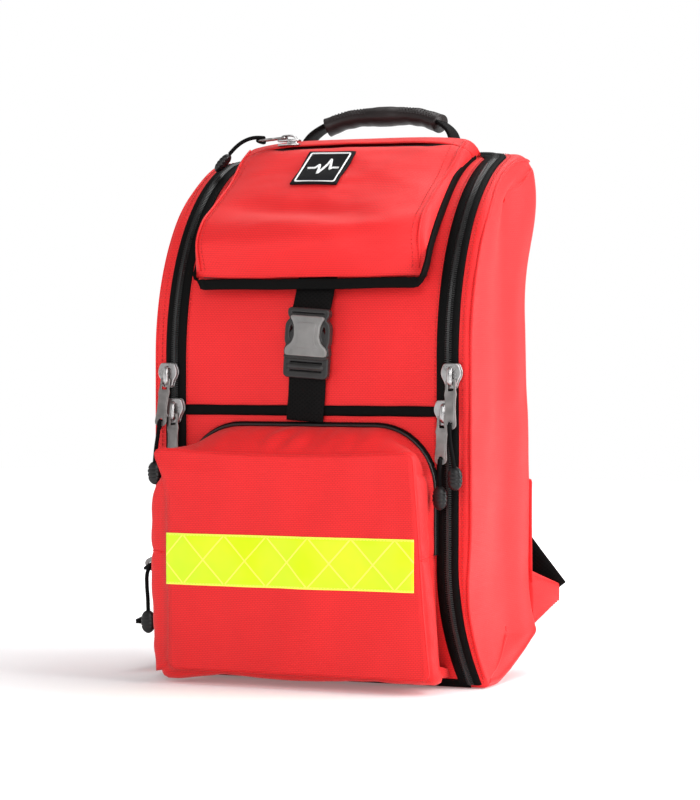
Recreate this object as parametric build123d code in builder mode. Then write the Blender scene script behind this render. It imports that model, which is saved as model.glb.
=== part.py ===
"""Trauma backpack: red coated fabric pack with a clamshell front panel, a front pocket and a pocket lid.

Millimetres. The origin is on the floor under the middle of the rear compartment: +X to the right as
seen from the front, +Y towards the wearer's back, +Z up.
"""
import math
import os

from build123d import *

os.makedirs("parts", exist_ok=True)

# ---------------------------------------------------------------- driving dimensions
BODY_HALF = 162          # half width of the rear compartment above the flare
BODY_FLARE = 12          # how much wider each side is at the floor
FLARE_TOP = 120          # height where the flare and the set-back foot end
FRONT_Y = -95            # plane of the main zip on the straight part of the front
BACK_Y = 90              # plane of the back
FOOT_SETBACK = 30        # how far the front runs back at the floor
SHOULDER_Z = 318         # where the straight front turns into the crown
CROWN_RISE = 205         # height of the crown above the shoulder
SKIN = 3                 # fabric with its foam
TOP_Z = SHOULDER_Z + CROWN_RISE
DEPTH = BACK_Y - FRONT_Y
BACK_CORNER = 15         # rounding of the rear top edge

ZIP_X = 145              # centre line of the main zip, from the middle
ZIP_FLARE = 14           # how much wider the zip runs at the floor
ZIP_REAR = 65            # where the zip crosses the top
ZIP_CORNER = 32          # rounding of the zip line in its two top corners
ZIP_GAP = 0.5            # half the gap between the two rows of teeth
TAPE_WIDTH = 11.5
TAPE_THICK = 1.2
PANEL_LOW = 4            # lower edge of the front panel, where it folds

POCKET_HALF = 133
POCKET_FLARE = 7
POCKET_LOW = 8
POCKET_FACE_Y = -145
POCKET_TOP_REAR = 253
POCKET_TOP_FACE = 232
POCKET_REAR_CORNER = 64
POCKET_FACE_CORNER = 46
POCKET_WALL = 2.5
POCKET_FOLD = 152        # the upper pocket folds forward along this line
FOLD_GAP = 0.4

LID_HALF = 120
LID_WALL = 3
LID_HEM_Z = 394          # lower edge of the lid's fabric
LID_HEM_DROP = 10.5      # black binding below it
LID_SLIT_Y = 14          # zip slit of the lid pocket, in Y
LID_SLIT_HALF = 4
LID_SLIT_LEFT = -86
LID_SLIT_RIGHT = 102

STRAP_LEAN = 4           # degrees that the closing strap leans to the right
STRAP_ORIGIN = (1.5, -97, 318)
STRAP_WIDTH = 40
WEB_THICK = 1.6

SLIDER_SIZE = (20, 23)
SLIDER_BACK = -96.6
SLIDER_THICK = 6.2
CORD_DIAMETER = 4


# ---------------------------------------------------------------- shared forms
def side_block(gap, half=300):
    """The pack's side outline grown by gap, as a block over the whole width."""
    front = FRONT_Y - gap
    foot = (front + FOOT_SETBACK, 0)
    with BuildPart() as block:
        with BuildSketch(Plane.YZ):
            with BuildLine():
                TangentArc((front, FLARE_TOP), foot, tangent=(0, -1))
                Line((front, FLARE_TOP), (front, SHOULDER_Z))
                EllipticalCenterArc(
                    (BACK_Y, SHOULDER_Z), DEPTH + gap, CROWN_RISE + gap, start_angle=90, arc_size=90
                )
                Polyline((BACK_Y, TOP_Z + gap), (BACK_Y, 0), foot)
            make_face()
        extrude(amount=half, both=True)
    return block.part


def flared_block(half, flare, low, high, front, rear):
    """A block with straight sides that flare towards the floor, from front to rear in Y."""
    foot = half + flare * ((FLARE_TOP - low) / FLARE_TOP) ** 2
    with BuildPart() as block:
        with BuildSketch(Plane.XZ.offset(-rear)):
            with BuildLine():
                TangentArc((half, FLARE_TOP), (foot, low), tangent=(0, -1))
                Polyline((foot, low), (0, low), (0, high), (half, high), (half, FLARE_TOP))
            make_face()
            mirror(about=Plane.YZ)
        extrude(amount=rear - front)
    return block.part


def zip_block(grow, low):
    """Everything in front of the zip line, with its top corners rounded, grown by grow."""
    half = ZIP_X + grow
    rear = ZIP_REAR + grow
    corner = ZIP_CORNER + grow
    with BuildPart() as block:
        add(flared_block(half, ZIP_FLARE, low, TOP_Z + 60, FRONT_Y - 60, rear))
        with BuildSketch(Plane.XY.offset(SHOULDER_Z)):
            for side in (-1, 1):
                with Locations((side * (half - corner / 2), rear - corner / 2)):
                    Rectangle(corner, corner)
                with Locations((side * (half - corner), rear - corner)):
                    Circle(corner, mode=Mode.SUBTRACT)
        extrude(amount=TOP_Z, mode=Mode.SUBTRACT)
    return block.part


def pack_form(shrink):
    """The closed form of the rear compartment, with its rear floor corners lifted."""
    rear = BACK_Y - shrink
    lift_normal = Vector(0, 120, 42).cross(Vector(-64, 120, 0)).normalized()
    with BuildPart() as form:
        add(side_block(-shrink))
        add(
            flared_block(BODY_HALF - shrink, BODY_FLARE, shrink, TOP_Z + 60, FRONT_Y - 60, rear),
            mode=Mode.INTERSECT,
        )
        with BuildSketch(Plane.YZ) as rear_outline:
            with Locations((rear, TOP_Z - shrink)):
                Rectangle(400, 700, align=(Align.MAX, Align.MAX))
            fillet(rear_outline.vertices().group_by(Axis.Y)[-1].sort_by(Axis.X)[-1], BACK_CORNER - shrink)
        extrude(amount=300, both=True, mode=Mode.INTERSECT)
        for side in (1, -1):
            normal = Vector(side * lift_normal.X, lift_normal.Y, lift_normal.Z)
            corner = Vector(side * (BODY_HALF + BODY_FLARE), BACK_Y - 120, 0) + normal * shrink
            split(bisect_by=Plane(corner, z_dir=normal), keep=Keep.TOP)
    return form.part


def write(piece, label):
    piece.part.label = label
    export_step(piece.part, "parts/" + label + ".step")
    return piece.part


# ---------------------------------------------------------------- rear compartment (body: pack)
skin_outer = side_block(0)
skin_inner = side_block(-SKIN)
tape_outer_form = side_block(TAPE_THICK)

with BuildPart() as rear_shell:
    add(pack_form(0))
    add(pack_form(SKIN), mode=Mode.SUBTRACT)
    add(zip_block(ZIP_GAP, PANEL_LOW - ZIP_GAP), mode=Mode.SUBTRACT)
write(rear_shell, "rear_shell")

with BuildPart() as zip_tape_outer:
    add(tape_outer_form)
    add(skin_outer, mode=Mode.SUBTRACT)
    add(zip_block(ZIP_GAP + TAPE_WIDTH, 4), mode=Mode.INTERSECT)
    add(zip_block(ZIP_GAP, -1), mode=Mode.SUBTRACT)
write(zip_tape_outer, "zip_tape_outer")

STIFFENER = (264, 2.5, 460)
STIFFENER_LOW = 36
with BuildPart() as back_stiffener:
    with Locations((0, BACK_Y - SKIN - 0.3 - STIFFENER[1] / 2, STIFFENER_LOW + STIFFENER[2] / 2)):
        Box(*STIFFENER)
    fillet(back_stiffener.edges().filter_by(Axis.Y), 25)
write(back_stiffener, "back_stiffener")

BACK_PANEL_THICK = 1.5
with BuildPart() as back_panel:
    with BuildSketch(Plane.XZ.offset(-BACK_Y - BACK_PANEL_THICK)):
        with Locations((0, 270)):
            RectangleRounded(290, 446, 22)
    extrude(amount=BACK_PANEL_THICK)
write(back_panel, "back_panel")

PAD_FRONT = BACK_Y + BACK_PANEL_THICK + 0.3
PAD_THICK = 12


def back_pad(label, centre_x, width, low, high):
    with BuildPart() as pad:
        with BuildSketch(Plane.XZ.offset(-PAD_FRONT)):
            with Locations((centre_x, (low + high) / 2)):
                RectangleRounded(width, high - low, 18)
        extrude(amount=-PAD_THICK)
        fillet(pad.faces().sort_by(Axis.Y)[-1].edges(), 5)
    write(pad, label)


back_pad("back_pad_left", -68, 96, 196, 470)
back_pad("back_pad_right", 68, 96, 196, 470)
back_pad("lumbar_pad", 0, 236, 62, 178)

# Shoulder straps: padded, sewn in under the handle, hanging behind the back.
STRAP_PATH = ((96, 486), (112, 482), (127, 440), (131, 330), (125, 212))
STRAP_X = 78
STRAP_PAD_WIDTH = 58
STRAP_PAD_THICK = 12
ADJUSTER_SIZE = (36, 7, 26)
TAB_TIP = Vector(178, 142, 74)
TAB_ROOT_LOW = Vector(165, 91, 46)
TAB_ROOT_HIGH = Vector(165, 91, 100)
TAB_THICK = 3
STRAP_END = Vector(86, 125, 201)


def mirrored(point, side):
    return Vector(side * point.X, point.Y, point.Z)


for side, name in ((-1, "left"), (1, "right")):
    with BuildPart() as shoulder_strap:
        with BuildSketch(Plane.YZ.offset(side * STRAP_X - STRAP_PAD_WIDTH / 2)):
            with BuildLine() as strap_line:
                FilletPolyline(*STRAP_PATH, radius=14)
            trace(strap_line.line, STRAP_PAD_THICK)
        extrude(amount=STRAP_PAD_WIDTH)
        fillet(shoulder_strap.edges().filter_by(Axis.X).group_by(Axis.Z)[0], 4)
    write(shoulder_strap, "shoulder_strap_" + name)

    end = mirrored(STRAP_END, side)
    tip = mirrored(TAB_TIP, side)
    down = (tip - end).normalized()
    across = Vector(0, 1, 0).cross(down).normalized()
    facing = down.cross(across)
    adjuster_plane = Plane(end, x_dir=across, z_dir=facing)
    with BuildPart() as strap_adjuster:
        with BuildSketch(adjuster_plane):
            with Locations((0, math.copysign(ADJUSTER_SIZE[2] / 2, -adjuster_plane.y_dir.Z))):
                RectangleRounded(ADJUSTER_SIZE[0], ADJUSTER_SIZE[2], 4)
                with GridLocations(0, 8, 1, 2):
                    SlotOverall(28, 4, mode=Mode.SUBTRACT)
        extrude(amount=ADJUSTER_SIZE[1] / 2, both=True)
    write(strap_adjuster, "strap_adjuster_" + name)

    web_start = end + down * (ADJUSTER_SIZE[2] + 0.3)
    web_length = (tip - web_start).length - 10
    with BuildPart() as strap_webbing:
        with BuildSketch(Plane(web_start, x_dir=across, z_dir=down)):
            Rectangle(25, 2.4)
        extrude(amount=web_length)
    write(strap_webbing, "strap_webbing_" + name)

    root_low = mirrored(TAB_ROOT_LOW, side)
    root_high = mirrored(TAB_ROOT_HIGH, side)
    tab_up = (root_high - root_low).normalized()
    tab_normal = tab_up.cross(tip - root_low).normalized()
    tab_plane = Plane(root_low, x_dir=tab_up, z_dir=tab_normal)
    tab_reach = tab_plane.to_local_coords(tip)
    with BuildPart() as strap_tab:
        with BuildSketch(tab_plane):
            with BuildLine():
                Polyline(
                    (0, 0), ((root_high - root_low).length, 0), (tab_reach.X + 4, tab_reach.Y),
                    (tab_reach.X - 4, tab_reach.Y), close=True,
                )
            make_face()
        extrude(amount=TAB_THICK)
    write(strap_tab, "strap_tab_" + name)

# Loose end of the left strap, held out along the left side by its stiffness.
TAIL_START = Vector(-192, 116, 66)
TAIL_END = Vector(-201, -50, 47)
TAIL_FOLD = 22
tail_run = (TAIL_END - TAIL_START).normalized()
with BuildPart() as strap_tail:
    with BuildSketch(Plane(TAIL_START, x_dir=(1, 0.13, 0), z_dir=tail_run)):
        Rectangle(25, 2.4)
    extrude(amount=(TAIL_END - TAIL_START).length)
    with BuildSketch(Plane(TAIL_END - tail_run * TAIL_FOLD, x_dir=(1, 0.13, 0), z_dir=tail_run)):
        Rectangle(25, 6.5)
    extrude(amount=TAIL_FOLD)
write(strap_tail, "strap_tail_left")

# ---------------------------------------------------------------- carry handle (body: carry_handle)
HANDLE_Y = 79
HANDLE_WEB = (25, 3)
HANDLE_LOW = 524.5       # its rounded ends turn just above the pack's top
HANDLE_PATH = ((-88, 525.5), (-72, 556), (-46, 566), (46, 566), (72, 556), (88, 525.5))
GRIP_PATH = ((-62, 559.6), (-46, 566), (46, 566), (62, 559.6))
GRIP_SECTION = (29, 17)

with BuildPart() as handle_webbing:
    with BuildSketch(Plane.XZ.offset(-HANDLE_Y)):
        with BuildLine() as handle_line:
            FilletPolyline(*HANDLE_PATH, radius=14)
        trace(handle_line.line, HANDLE_WEB[1])
    extrude(amount=HANDLE_WEB[0] / 2, both=True)
    with BuildSketch(Plane.YZ) as handle_ends:
        with Locations((HANDLE_Y, HANDLE_LOW)):
            Rectangle(HANDLE_WEB[0], 80, align=(Align.CENTER, Align.MIN))
        fillet(handle_ends.vertices().group_by(Axis.Y)[0], 12)
    extrude(amount=120, both=True, mode=Mode.INTERSECT)
write(handle_webbing, "handle_webbing")

with BuildPart() as handle_grip:
    with BuildSketch(Plane.XZ.offset(-HANDLE_Y)):
        with BuildLine() as grip_line:
            FilletPolyline(*GRIP_PATH, radius=14)
        trace(grip_line.line, GRIP_SECTION[1])
    extrude(amount=GRIP_SECTION[0] / 2, both=True)
    with BuildSketch(Plane.XZ.offset(-HANDLE_Y)):
        with BuildLine() as tunnel_line:
            FilletPolyline(*HANDLE_PATH, radius=14)
        trace(tunnel_line.line, HANDLE_WEB[1] + 0.4)
    extrude(amount=HANDLE_WEB[0] / 2 + 0.2, both=True, mode=Mode.SUBTRACT)
write(handle_grip, "handle_grip")

# ---------------------------------------------------------------- front panel (body: front_panel)
with BuildPart() as front_panel:
    add(skin_outer)
    add(skin_inner, mode=Mode.SUBTRACT)
    add(zip_block(-ZIP_GAP, PANEL_LOW), mode=Mode.INTERSECT)
write(front_panel, "front_panel")

with BuildPart() as zip_tape_inner:
    add(tape_outer_form)
    add(skin_outer, mode=Mode.SUBTRACT)
    add(zip_block(-ZIP_GAP, PANEL_LOW), mode=Mode.INTERSECT)
    add(zip_block(-ZIP_GAP - TAPE_WIDTH, -1), mode=Mode.SUBTRACT)
write(zip_tape_inner, "zip_tape_inner")

BAND_LOW = 261
BAND_HIGH = 271
with BuildPart() as band_binding:
    with Locations((0, FRONT_Y - 0.8, (BAND_LOW + BAND_HIGH) / 2)):
        Box(2 * (ZIP_X - ZIP_GAP - TAPE_WIDTH) - 0.6, 1.6, BAND_HIGH - BAND_LOW)
write(band_binding, "band_binding")

# Closing strap: its pieces lie in one leaning plane in front of the panel.
lean = math.radians(STRAP_LEAN)
strap_plane = Plane(STRAP_ORIGIN, x_dir=(math.cos(lean), 0, -math.sin(lean)), z_dir=(0, -1, 0))
BUCKLE_WIDTH = 44
BUCKLE_BACK = 1.2        # gap from the strap plane to the buckle's back
BUCKLE_THICK = 11
MALE_LOW = -19
MALE_HIGH = 0.5
FEMALE_LOW = 1.2
FEMALE_HIGH = 46

with BuildPart() as strap_webbing_lower:
    with BuildSketch(strap_plane):
        with Locations((0, -41)):
            Rectangle(STRAP_WIDTH, 43)
    extrude(amount=WEB_THICK)
write(strap_webbing_lower, "strap_webbing_lower")

with BuildPart() as buckle_male:
    with BuildSketch(strap_plane.offset(BUCKLE_BACK)):
        with Locations((0, (MALE_LOW + MALE_HIGH) / 2)):
            RectangleRounded(BUCKLE_WIDTH, MALE_HIGH - MALE_LOW, 3)
        with Locations((0, -7), (0, -14)):
            SlotOverall(36, 3, mode=Mode.SUBTRACT)
    extrude(amount=BUCKLE_THICK)
    with BuildSketch(strap_plane.offset(BUCKLE_BACK + 3.2)):
        with Locations((0, MALE_HIGH + 12)):
            Rectangle(9, 26)
    extrude(amount=4.6)
    with Locations(strap_plane.offset(0.7) * Location((0, -17, 0))):
        Box(STRAP_WIDTH, 8, 1.8, mode=Mode.SUBTRACT)
write(buckle_male, "buckle_male")

for side, name in ((-1, "left"), (1, "right")):
    with BuildPart() as buckle_prong:
        with BuildSketch(strap_plane.offset(BUCKLE_BACK + 3.2)):
            with BuildLine():
                Polyline(
                    (side * 13, 1.2), (side * 17, 1.2), (side * 20.5, 12), (side * 20.5, 20),
                    (side * 13, 30), (side * 11, 30), (side * 13, 12), close=True,
                )
            make_face()
        extrude(amount=4.6)
    write(buckle_prong, "buckle_prong_" + name)

# Front pocket: the lower part is fixed, the upper part folds down when its zip is open.
with BuildPart() as pocket_base:
    add(flared_block(POCKET_HALF, POCKET_FLARE, POCKET_LOW, POCKET_FOLD - FOLD_GAP, POCKET_FACE_Y, -60))
    add(
        flared_block(
            POCKET_HALF - POCKET_WALL, POCKET_FLARE, POCKET_LOW + POCKET_WALL, POCKET_TOP_REAR,
            POCKET_FACE_Y + POCKET_WALL, 0,
        ),
        mode=Mode.SUBTRACT,
    )
    add(skin_outer, mode=Mode.SUBTRACT)
write(pocket_base, "pocket_base")


def pocket_form(shrink, rear):
    with BuildPart() as form:
        for depth, top, corner in (
            (POCKET_FACE_Y + shrink, POCKET_TOP_FACE, POCKET_FACE_CORNER),
            (rear, POCKET_TOP_REAR, POCKET_REAR_CORNER),
        ):
            with BuildSketch(Plane.XZ.offset(-depth)) as outline:
                with Locations((0, (top - shrink + 100) / 2)):
                    Rectangle(2 * (POCKET_HALF - shrink), top - shrink - 100)
                fillet(outline.vertices().group_by(Axis.Y)[-1], corner - shrink)
        loft()
    return form.part


POCKET_REAR = -97.6
POCKET_TAPE_LOW = POCKET_FOLD + 0.5
with BuildPart() as pocket_cover:
    add(pocket_form(0, POCKET_REAR))
    add(pocket_form(POCKET_WALL, POCKET_REAR + 0.01), mode=Mode.SUBTRACT)
    with Locations((0, -120, 60)):
        Box(400, 200, 2 * (POCKET_FOLD + FOLD_GAP - 60), mode=Mode.SUBTRACT)
write(pocket_cover, "pocket_cover")

with BuildPart() as pocket_zip_tape:
    with BuildSketch(Plane.XZ.offset(-FRONT_Y)) as tape_outline:
        with Locations((0, (POCKET_TOP_REAR + 1 + POCKET_TAPE_LOW) / 2)):
            Rectangle(2 * POCKET_HALF - 1, POCKET_TOP_REAR + 1 - POCKET_TAPE_LOW)
        fillet(tape_outline.vertices().group_by(Axis.Y)[-1], POCKET_REAR_CORNER)
        with BuildSketch(Plane.XZ.offset(-FRONT_Y), mode=Mode.PRIVATE) as tape_hole:
            with Locations((0, (POCKET_TOP_REAR - 6 + 100) / 2)):
                Rectangle(2 * (POCKET_HALF - 6), POCKET_TOP_REAR - 6 - 100)
            fillet(tape_hole.vertices().group_by(Axis.Y)[-1], POCKET_REAR_CORNER - 6)
        add(tape_hole.sketch_local, mode=Mode.SUBTRACT)
    extrude(amount=2)
    with Locations((0, FRONT_Y, (BAND_LOW + BAND_HIGH) / 2)):
        Box(2 * ZIP_X, 3.4, BAND_HIGH - BAND_LOW, mode=Mode.SUBTRACT)
write(pocket_zip_tape, "pocket_zip_tape")

TAPE_LOW = 97
TAPE_HIGH = 147
with BuildPart() as reflective_tape:
    with BuildSketch(Plane.XZ.offset(-POCKET_FACE_Y)):
        with Locations((0, (TAPE_LOW + TAPE_HIGH) / 2)):
            RectangleRounded(2 * POCKET_HALF - 8, TAPE_HIGH - TAPE_LOW, 3)
    extrude(amount=1.2)
write(reflective_tape, "reflective_tape")

# ---------------------------------------------------------------- lid (body: lid)
LID_OUTLINE = (
    (49, 523.5), (33, 536), (12, 530), (-81, 463), (-113, 441), (-118, 428), (-112, 412), (-100, LID_HEM_Z),
)


def lid_form(shrink, half):
    """The lid's wedge: sloping face, nose and hem, lying over the crown."""
    with BuildPart() as form:
        with BuildSketch(Plane.YZ) as profile:
            with BuildLine():
                Polyline(*LID_OUTLINE)
                Polyline(LID_OUTLINE[-1], (-60, LID_HEM_Z), (49, 505), LID_OUTLINE[0])
            make_face()
            fillet(profile.vertices().group_by(Axis.X)[0], 8)
            if shrink:
                offset(amount=-shrink, mode=Mode.REPLACE)
        extrude(amount=half, both=True)
        add(side_block(3 + shrink), mode=Mode.SUBTRACT)
    return form.part


with BuildPart() as lid_shell:
    add(lid_form(0, LID_HALF))
    add(lid_form(LID_WALL, LID_HALF - LID_WALL), mode=Mode.SUBTRACT)
    with Locations(((LID_SLIT_LEFT + LID_SLIT_RIGHT) / 2, LID_SLIT_Y, 540)):
        Box(LID_SLIT_RIGHT - LID_SLIT_LEFT, 2 * LID_SLIT_HALF, 40, mode=Mode.SUBTRACT)
write(lid_shell, "lid_shell")

BINDING_THICK = 1.5
BINDING_RISE = 12        # how far the binding covers the lid's sides above the pack
BINDING_REAR = 48
HEM_Y = -99              # middle of the binding along the front hem
LID_FULL_HALF = LID_HALF + BINDING_THICK
with BuildPart() as lid_binding:
    add(side_block(BINDING_RISE))
    add(side_block(LID_WALL), mode=Mode.SUBTRACT)
    with Locations((0, BINDING_REAR, LID_HEM_Z - 5)):
        Box(2 * LID_FULL_HALF, 148, 150, align=(Align.CENTER, Align.MAX, Align.MIN), mode=Mode.INTERSECT)
    Box(2 * LID_HALF + 0.2, 400, 2 * TOP_Z + 100, mode=Mode.SUBTRACT)
    with Locations((0, HEM_Y, LID_HEM_Z - 0.1)):
        Box(2 * LID_FULL_HALF, 2, LID_HEM_DROP, align=(Align.CENTER, Align.CENTER, Align.MAX))
    for side in (-1, 1):
        with Locations((side * (LID_HALF + 0.8), HEM_Y + 4, LID_HEM_Z - 3.1)):
            Box(2 * (BINDING_THICK - 0.8), 10, 6)
write(lid_binding, "lid_binding")

LID_TAPE = (1.6, 4)      # thickness and height of each strip beside the slit
LID_TAPE_Z = 528.5
with BuildPart() as lid_zip_tape:
    with Locations(((LID_SLIT_LEFT + LID_SLIT_RIGHT) / 2, LID_SLIT_Y, LID_TAPE_Z)):
        with GridLocations(0, 6, 1, 2):
            Box(LID_SLIT_RIGHT - LID_SLIT_LEFT - 0.6, *LID_TAPE)
write(lid_zip_tape, "lid_zip_tape")

FACE_SLOPE = Vector(0, 93, 67).normalized()
face_normal = Vector(1, 0, 0).cross(FACE_SLOPE)
patch_plane = Plane((-12.5, -39, 493.4), x_dir=(1, 0, 0), z_dir=face_normal)
with BuildPart() as lid_patch:
    with BuildSketch(patch_plane):
        RectangleRounded(51, 56, 2, rotation=3)
    extrude(amount=1.3)
write(lid_patch, "lid_patch")

UPPER_WEB = ((-84, 392), (-88, 380), (-100.6, 365.6))
with BuildPart() as strap_webbing_upper:
    with BuildSketch(Plane.YZ.offset(4 - STRAP_WIDTH / 2)):
        with BuildLine() as upper_web_line:
            FilletPolyline(*UPPER_WEB, radius=5)
        trace(upper_web_line.line, WEB_THICK)
    extrude(amount=STRAP_WIDTH)
write(strap_webbing_upper, "strap_webbing_upper")

with BuildPart() as buckle_female:
    with BuildSketch(strap_plane.offset(BUCKLE_BACK)):
        with Locations((0, (FEMALE_LOW + FEMALE_HIGH) / 2)):
            RectangleRounded(BUCKLE_WIDTH + 1, FEMALE_HIGH - FEMALE_LOW, 4)
    extrude(amount=BUCKLE_THICK)
    with BuildSketch(strap_plane.offset(BUCKLE_BACK + 2.7)):
        with Locations((0, 16)):
            Rectangle(BUCKLE_WIDTH - 2, 31)
    extrude(amount=5.6, mode=Mode.SUBTRACT)
    with BuildSketch(strap_plane.offset(BUCKLE_BACK + 2)):
        with Locations((-22, 18), (22, 18)):
            Rectangle(8, 20)
        with Locations((0, 42)):
            Rectangle(STRAP_WIDTH + 2, 16)
    extrude(amount=7, mode=Mode.SUBTRACT)
    with Locations(strap_plane.offset(6) * Location((0, 40, 0))):
        Box(STRAP_WIDTH + 2, 3, 6)
write(buckle_female, "buckle_female")

# ---------------------------------------------------------------- zip sliders, pullers, cords, toggles
BRIDGE = (4, 14, 4.6)
TUNNEL = (8, 4.6, 2.9)
HINGE_OFFSET = -4.5      # hinge bar along the slider, from its middle
HINGE_HEIGHT = 8.2       # hinge bar above the slider's back
BAR_RADIUS = 1
PULLER_WIDTH = 9.4
PULLER_THICK = 1.6
EYE = (6.6, 9.4)
HOLE_RADIUS = 2.6
TOGGLE_HALF = (7.5, 11.5)
TOGGLE_THICK = 9


def zip_slider(label, plane, width=SLIDER_SIZE[0]):
    """Slider body with a bridge; plane lies on the tape, local Y along the zip."""
    with BuildPart() as slider:
        with BuildSketch(plane):
            RectangleRounded(width, SLIDER_SIZE[1], 5)
        extrude(amount=SLIDER_THICK)
        with BuildSketch(plane.offset(SLIDER_THICK)):
            with Locations((0, -1)):
                Rectangle(BRIDGE[0], BRIDGE[1])
        extrude(amount=BRIDGE[2])
        with Locations(plane.offset(HINGE_HEIGHT) * Location((0, HINGE_OFFSET, 0))):
            Box(TUNNEL[0], TUNNEL[1], TUNNEL[2], mode=Mode.SUBTRACT)
    write(slider, label)


def puller(label, hinge, along, across, length):
    """Flat puller with an eye over the bridge and a hole for the cord."""
    plane = Plane(hinge, x_dir=across, z_dir=Vector(*across).cross(Vector(*along) * -1))
    with BuildPart() as plate:
        with BuildSketch(plane):
            with Locations((0, (1 - length) / 2)):
                RectangleRounded(PULLER_WIDTH, length + 1, 2.4)
            with Locations((0, -5.6)):
                Rectangle(EYE[0], EYE[1], mode=Mode.SUBTRACT)
            with Locations((0, 5 - length)):
                Circle(HOLE_RADIUS, mode=Mode.SUBTRACT)
        extrude(amount=PULLER_THICK / 2, both=True)
    write(plate, label)


def cord(label, points, radii):
    """Round cord along straight runs joined by tangent arcs."""
    with BuildPart() as tube:
        with BuildLine() as route:
            FilletPolyline(*points, radius=radii)
        with BuildSketch(Plane(points[0], z_dir=Vector(*points[1]) - Vector(*points[0]))):
            Circle(CORD_DIAMETER / 2)
        sweep(path=route.wire())
    length = route.wire().length
    print(label, "length", round(length, 1), "volume ratio",
          round(tube.part.volume / (math.pi * CORD_DIAMETER ** 2 / 4 * length), 4), "radii", radii)
    write(tube, label)


def corner_radii(points):
    """Arc radius at each corner: 0.45 of the shorter run over the tangent of half the turn."""
    radii = []
    for before, corner, after in zip(points, points[1:], points[2:]):
        first = Vector(*corner) - Vector(*before)
        second = Vector(*after) - Vector(*corner)
        half_turn = math.radians(first.get_angle(second)) / 2
        radii.append(round(0.45 * min(first.length, second.length) / math.tan(half_turn), 1))
    return radii


def toggle(label, centre, along, facing):
    """Flat oval end grip, its long axis along the cord."""
    across = Vector(*along).cross(Vector(*facing))
    with BuildPart() as grip:
        with BuildSketch(Plane(centre, x_dir=across, z_dir=facing)):
            Ellipse(*TOGGLE_HALF)
        extrude(amount=TOGGLE_THICK / 2, both=True)
        fillet(grip.edges(), 3)
    write(grip, label)


UPPER = {
    "slider": (150, 300),
    "along": (0.048, -0.163, -1),
    "length": 46,
    "shift": 0.8,
    "cord": ((152.9, -114.6, 254.4), (153.7, -115.8, 241), (156.2, -116, 227), (158, -114.6, 214)),
    "toggle": (158.3, -113.6, 203.4),
}
LOWER = {
    "slider": (143, 265),
    "along": (-0.022, -0.06, -1),
    "length": 44,
    "shift": -0.5,
    "cord": ((141.6, -110, 221), (141.9, -111.8, 211), (142.3, -112.6, 201), (142.6, -112.3, 190.4)),
    "toggle": (142.8, -112.4, 184.6),
}


def main_zip_pull(side, level, place):
    name = ("left" if side < 0 else "right") + "_" + level
    x, z = place["slider"]
    plane = Plane((side * x, SLIDER_BACK, z), x_dir=(1, 0, 0), z_dir=(0, -1, 0))
    zip_slider("zip_slider_" + name, plane)
    hinge = (side * (x + place["shift"]), SLIDER_BACK - HINGE_HEIGHT, z + HINGE_OFFSET)
    along = Vector(side * place["along"][0], *place["along"][1:]).normalized()
    across = Vector(0, -1, 0).cross(along * -1).normalized() * -1
    puller("zip_puller_" + name, hinge, tuple(along), tuple(across), place["length"])
    points = [(side * px, py, pz) for px, py, pz in place["cord"]]
    cord("pull_cord_" + name, points, corner_radii(points))
    centre = (side * place["toggle"][0], *place["toggle"][1:])
    toggle("pull_toggle_" + name, centre, (0, 0, -1), (0, -1, 0))


for side in (-1, 1):
    main_zip_pull(side, "upper", UPPER)
    main_zip_pull(side, "lower", LOWER)

# The pocket's slider is at the left end of its zip, with its puller turned outwards.
POCKET_SLIDER = (-141.6, 128)
POCKET_SLIDER_WIDTH = 13.6
pocket_slider_plane = Plane(
    (POCKET_SLIDER[0], SLIDER_BACK, POCKET_SLIDER[1]), x_dir=(1, 0, 0), z_dir=(0, -1, 0)
)
zip_slider("zip_slider_pocket", pocket_slider_plane, POCKET_SLIDER_WIDTH)
POCKET_PULL_HINGE = (-145.3, -104.8, 126)
pocket_along = Vector(-1, 0, -0.62).normalized()
pocket_across = Vector(-0.62, 0, 1).normalized()
puller("zip_puller_pocket", POCKET_PULL_HINGE, tuple(pocket_along), tuple(pocket_across), 31)
POCKET_CORD = (
    (-166.6, -107.6, 112.6), (-170, -108.6, 104.5), (-170.6, -107.6, 92), (-170, -106.4, 79),
    (-169.6, -106.4, 66),
)
cord("pull_cord_pocket", POCKET_CORD, corner_radii(POCKET_CORD))
toggle("pull_toggle_pocket", (-169.6, -106.4, 55), (0, 0, -1), (0, -1, 0))

# The lid pocket's slider is at the left end of the slit; its cord hangs over the lid's left edge.
LID_SLIDER_X = -70
LID_SLIDER_Z = 532.8
lid_slider_plane = Plane((LID_SLIDER_X, LID_SLIT_Y, LID_SLIDER_Z), x_dir=(0, -1, 0), z_dir=(0, 0, 1))
zip_slider("zip_slider_lid", lid_slider_plane, 14)
LID_PULL_HINGE = (LID_SLIDER_X + HINGE_OFFSET, LID_SLIT_Y, LID_SLIDER_Z + HINGE_HEIGHT)
lid_along = Vector(-1, 0, -0.08).normalized()
puller("zip_puller_lid", LID_PULL_HINGE, tuple(lid_along), (0, -1, 0), 28)
LID_CORD = (
    (-97.6, 14, 541.6), (-106, 12.6, 542.8), (-117, 10, 540), (-127, 7, 533), (-133, 5, 525.4)
)
cord("pull_cord_lid", LID_CORD, corner_radii(LID_CORD))
toggle("pull_toggle_lid", (-139.6, 3.6, 516.6), (-0.66, -0.1, -0.75), (0.75, 0, -0.66))
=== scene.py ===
"""Trauma backpack: the fabric, zips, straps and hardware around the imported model.

Shapes are worked out in millimetres and turned to metres at the mesh.
"""
import math

import bmesh
import bpy
import numpy as np
from mathutils import Matrix, Vector, noise


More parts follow.
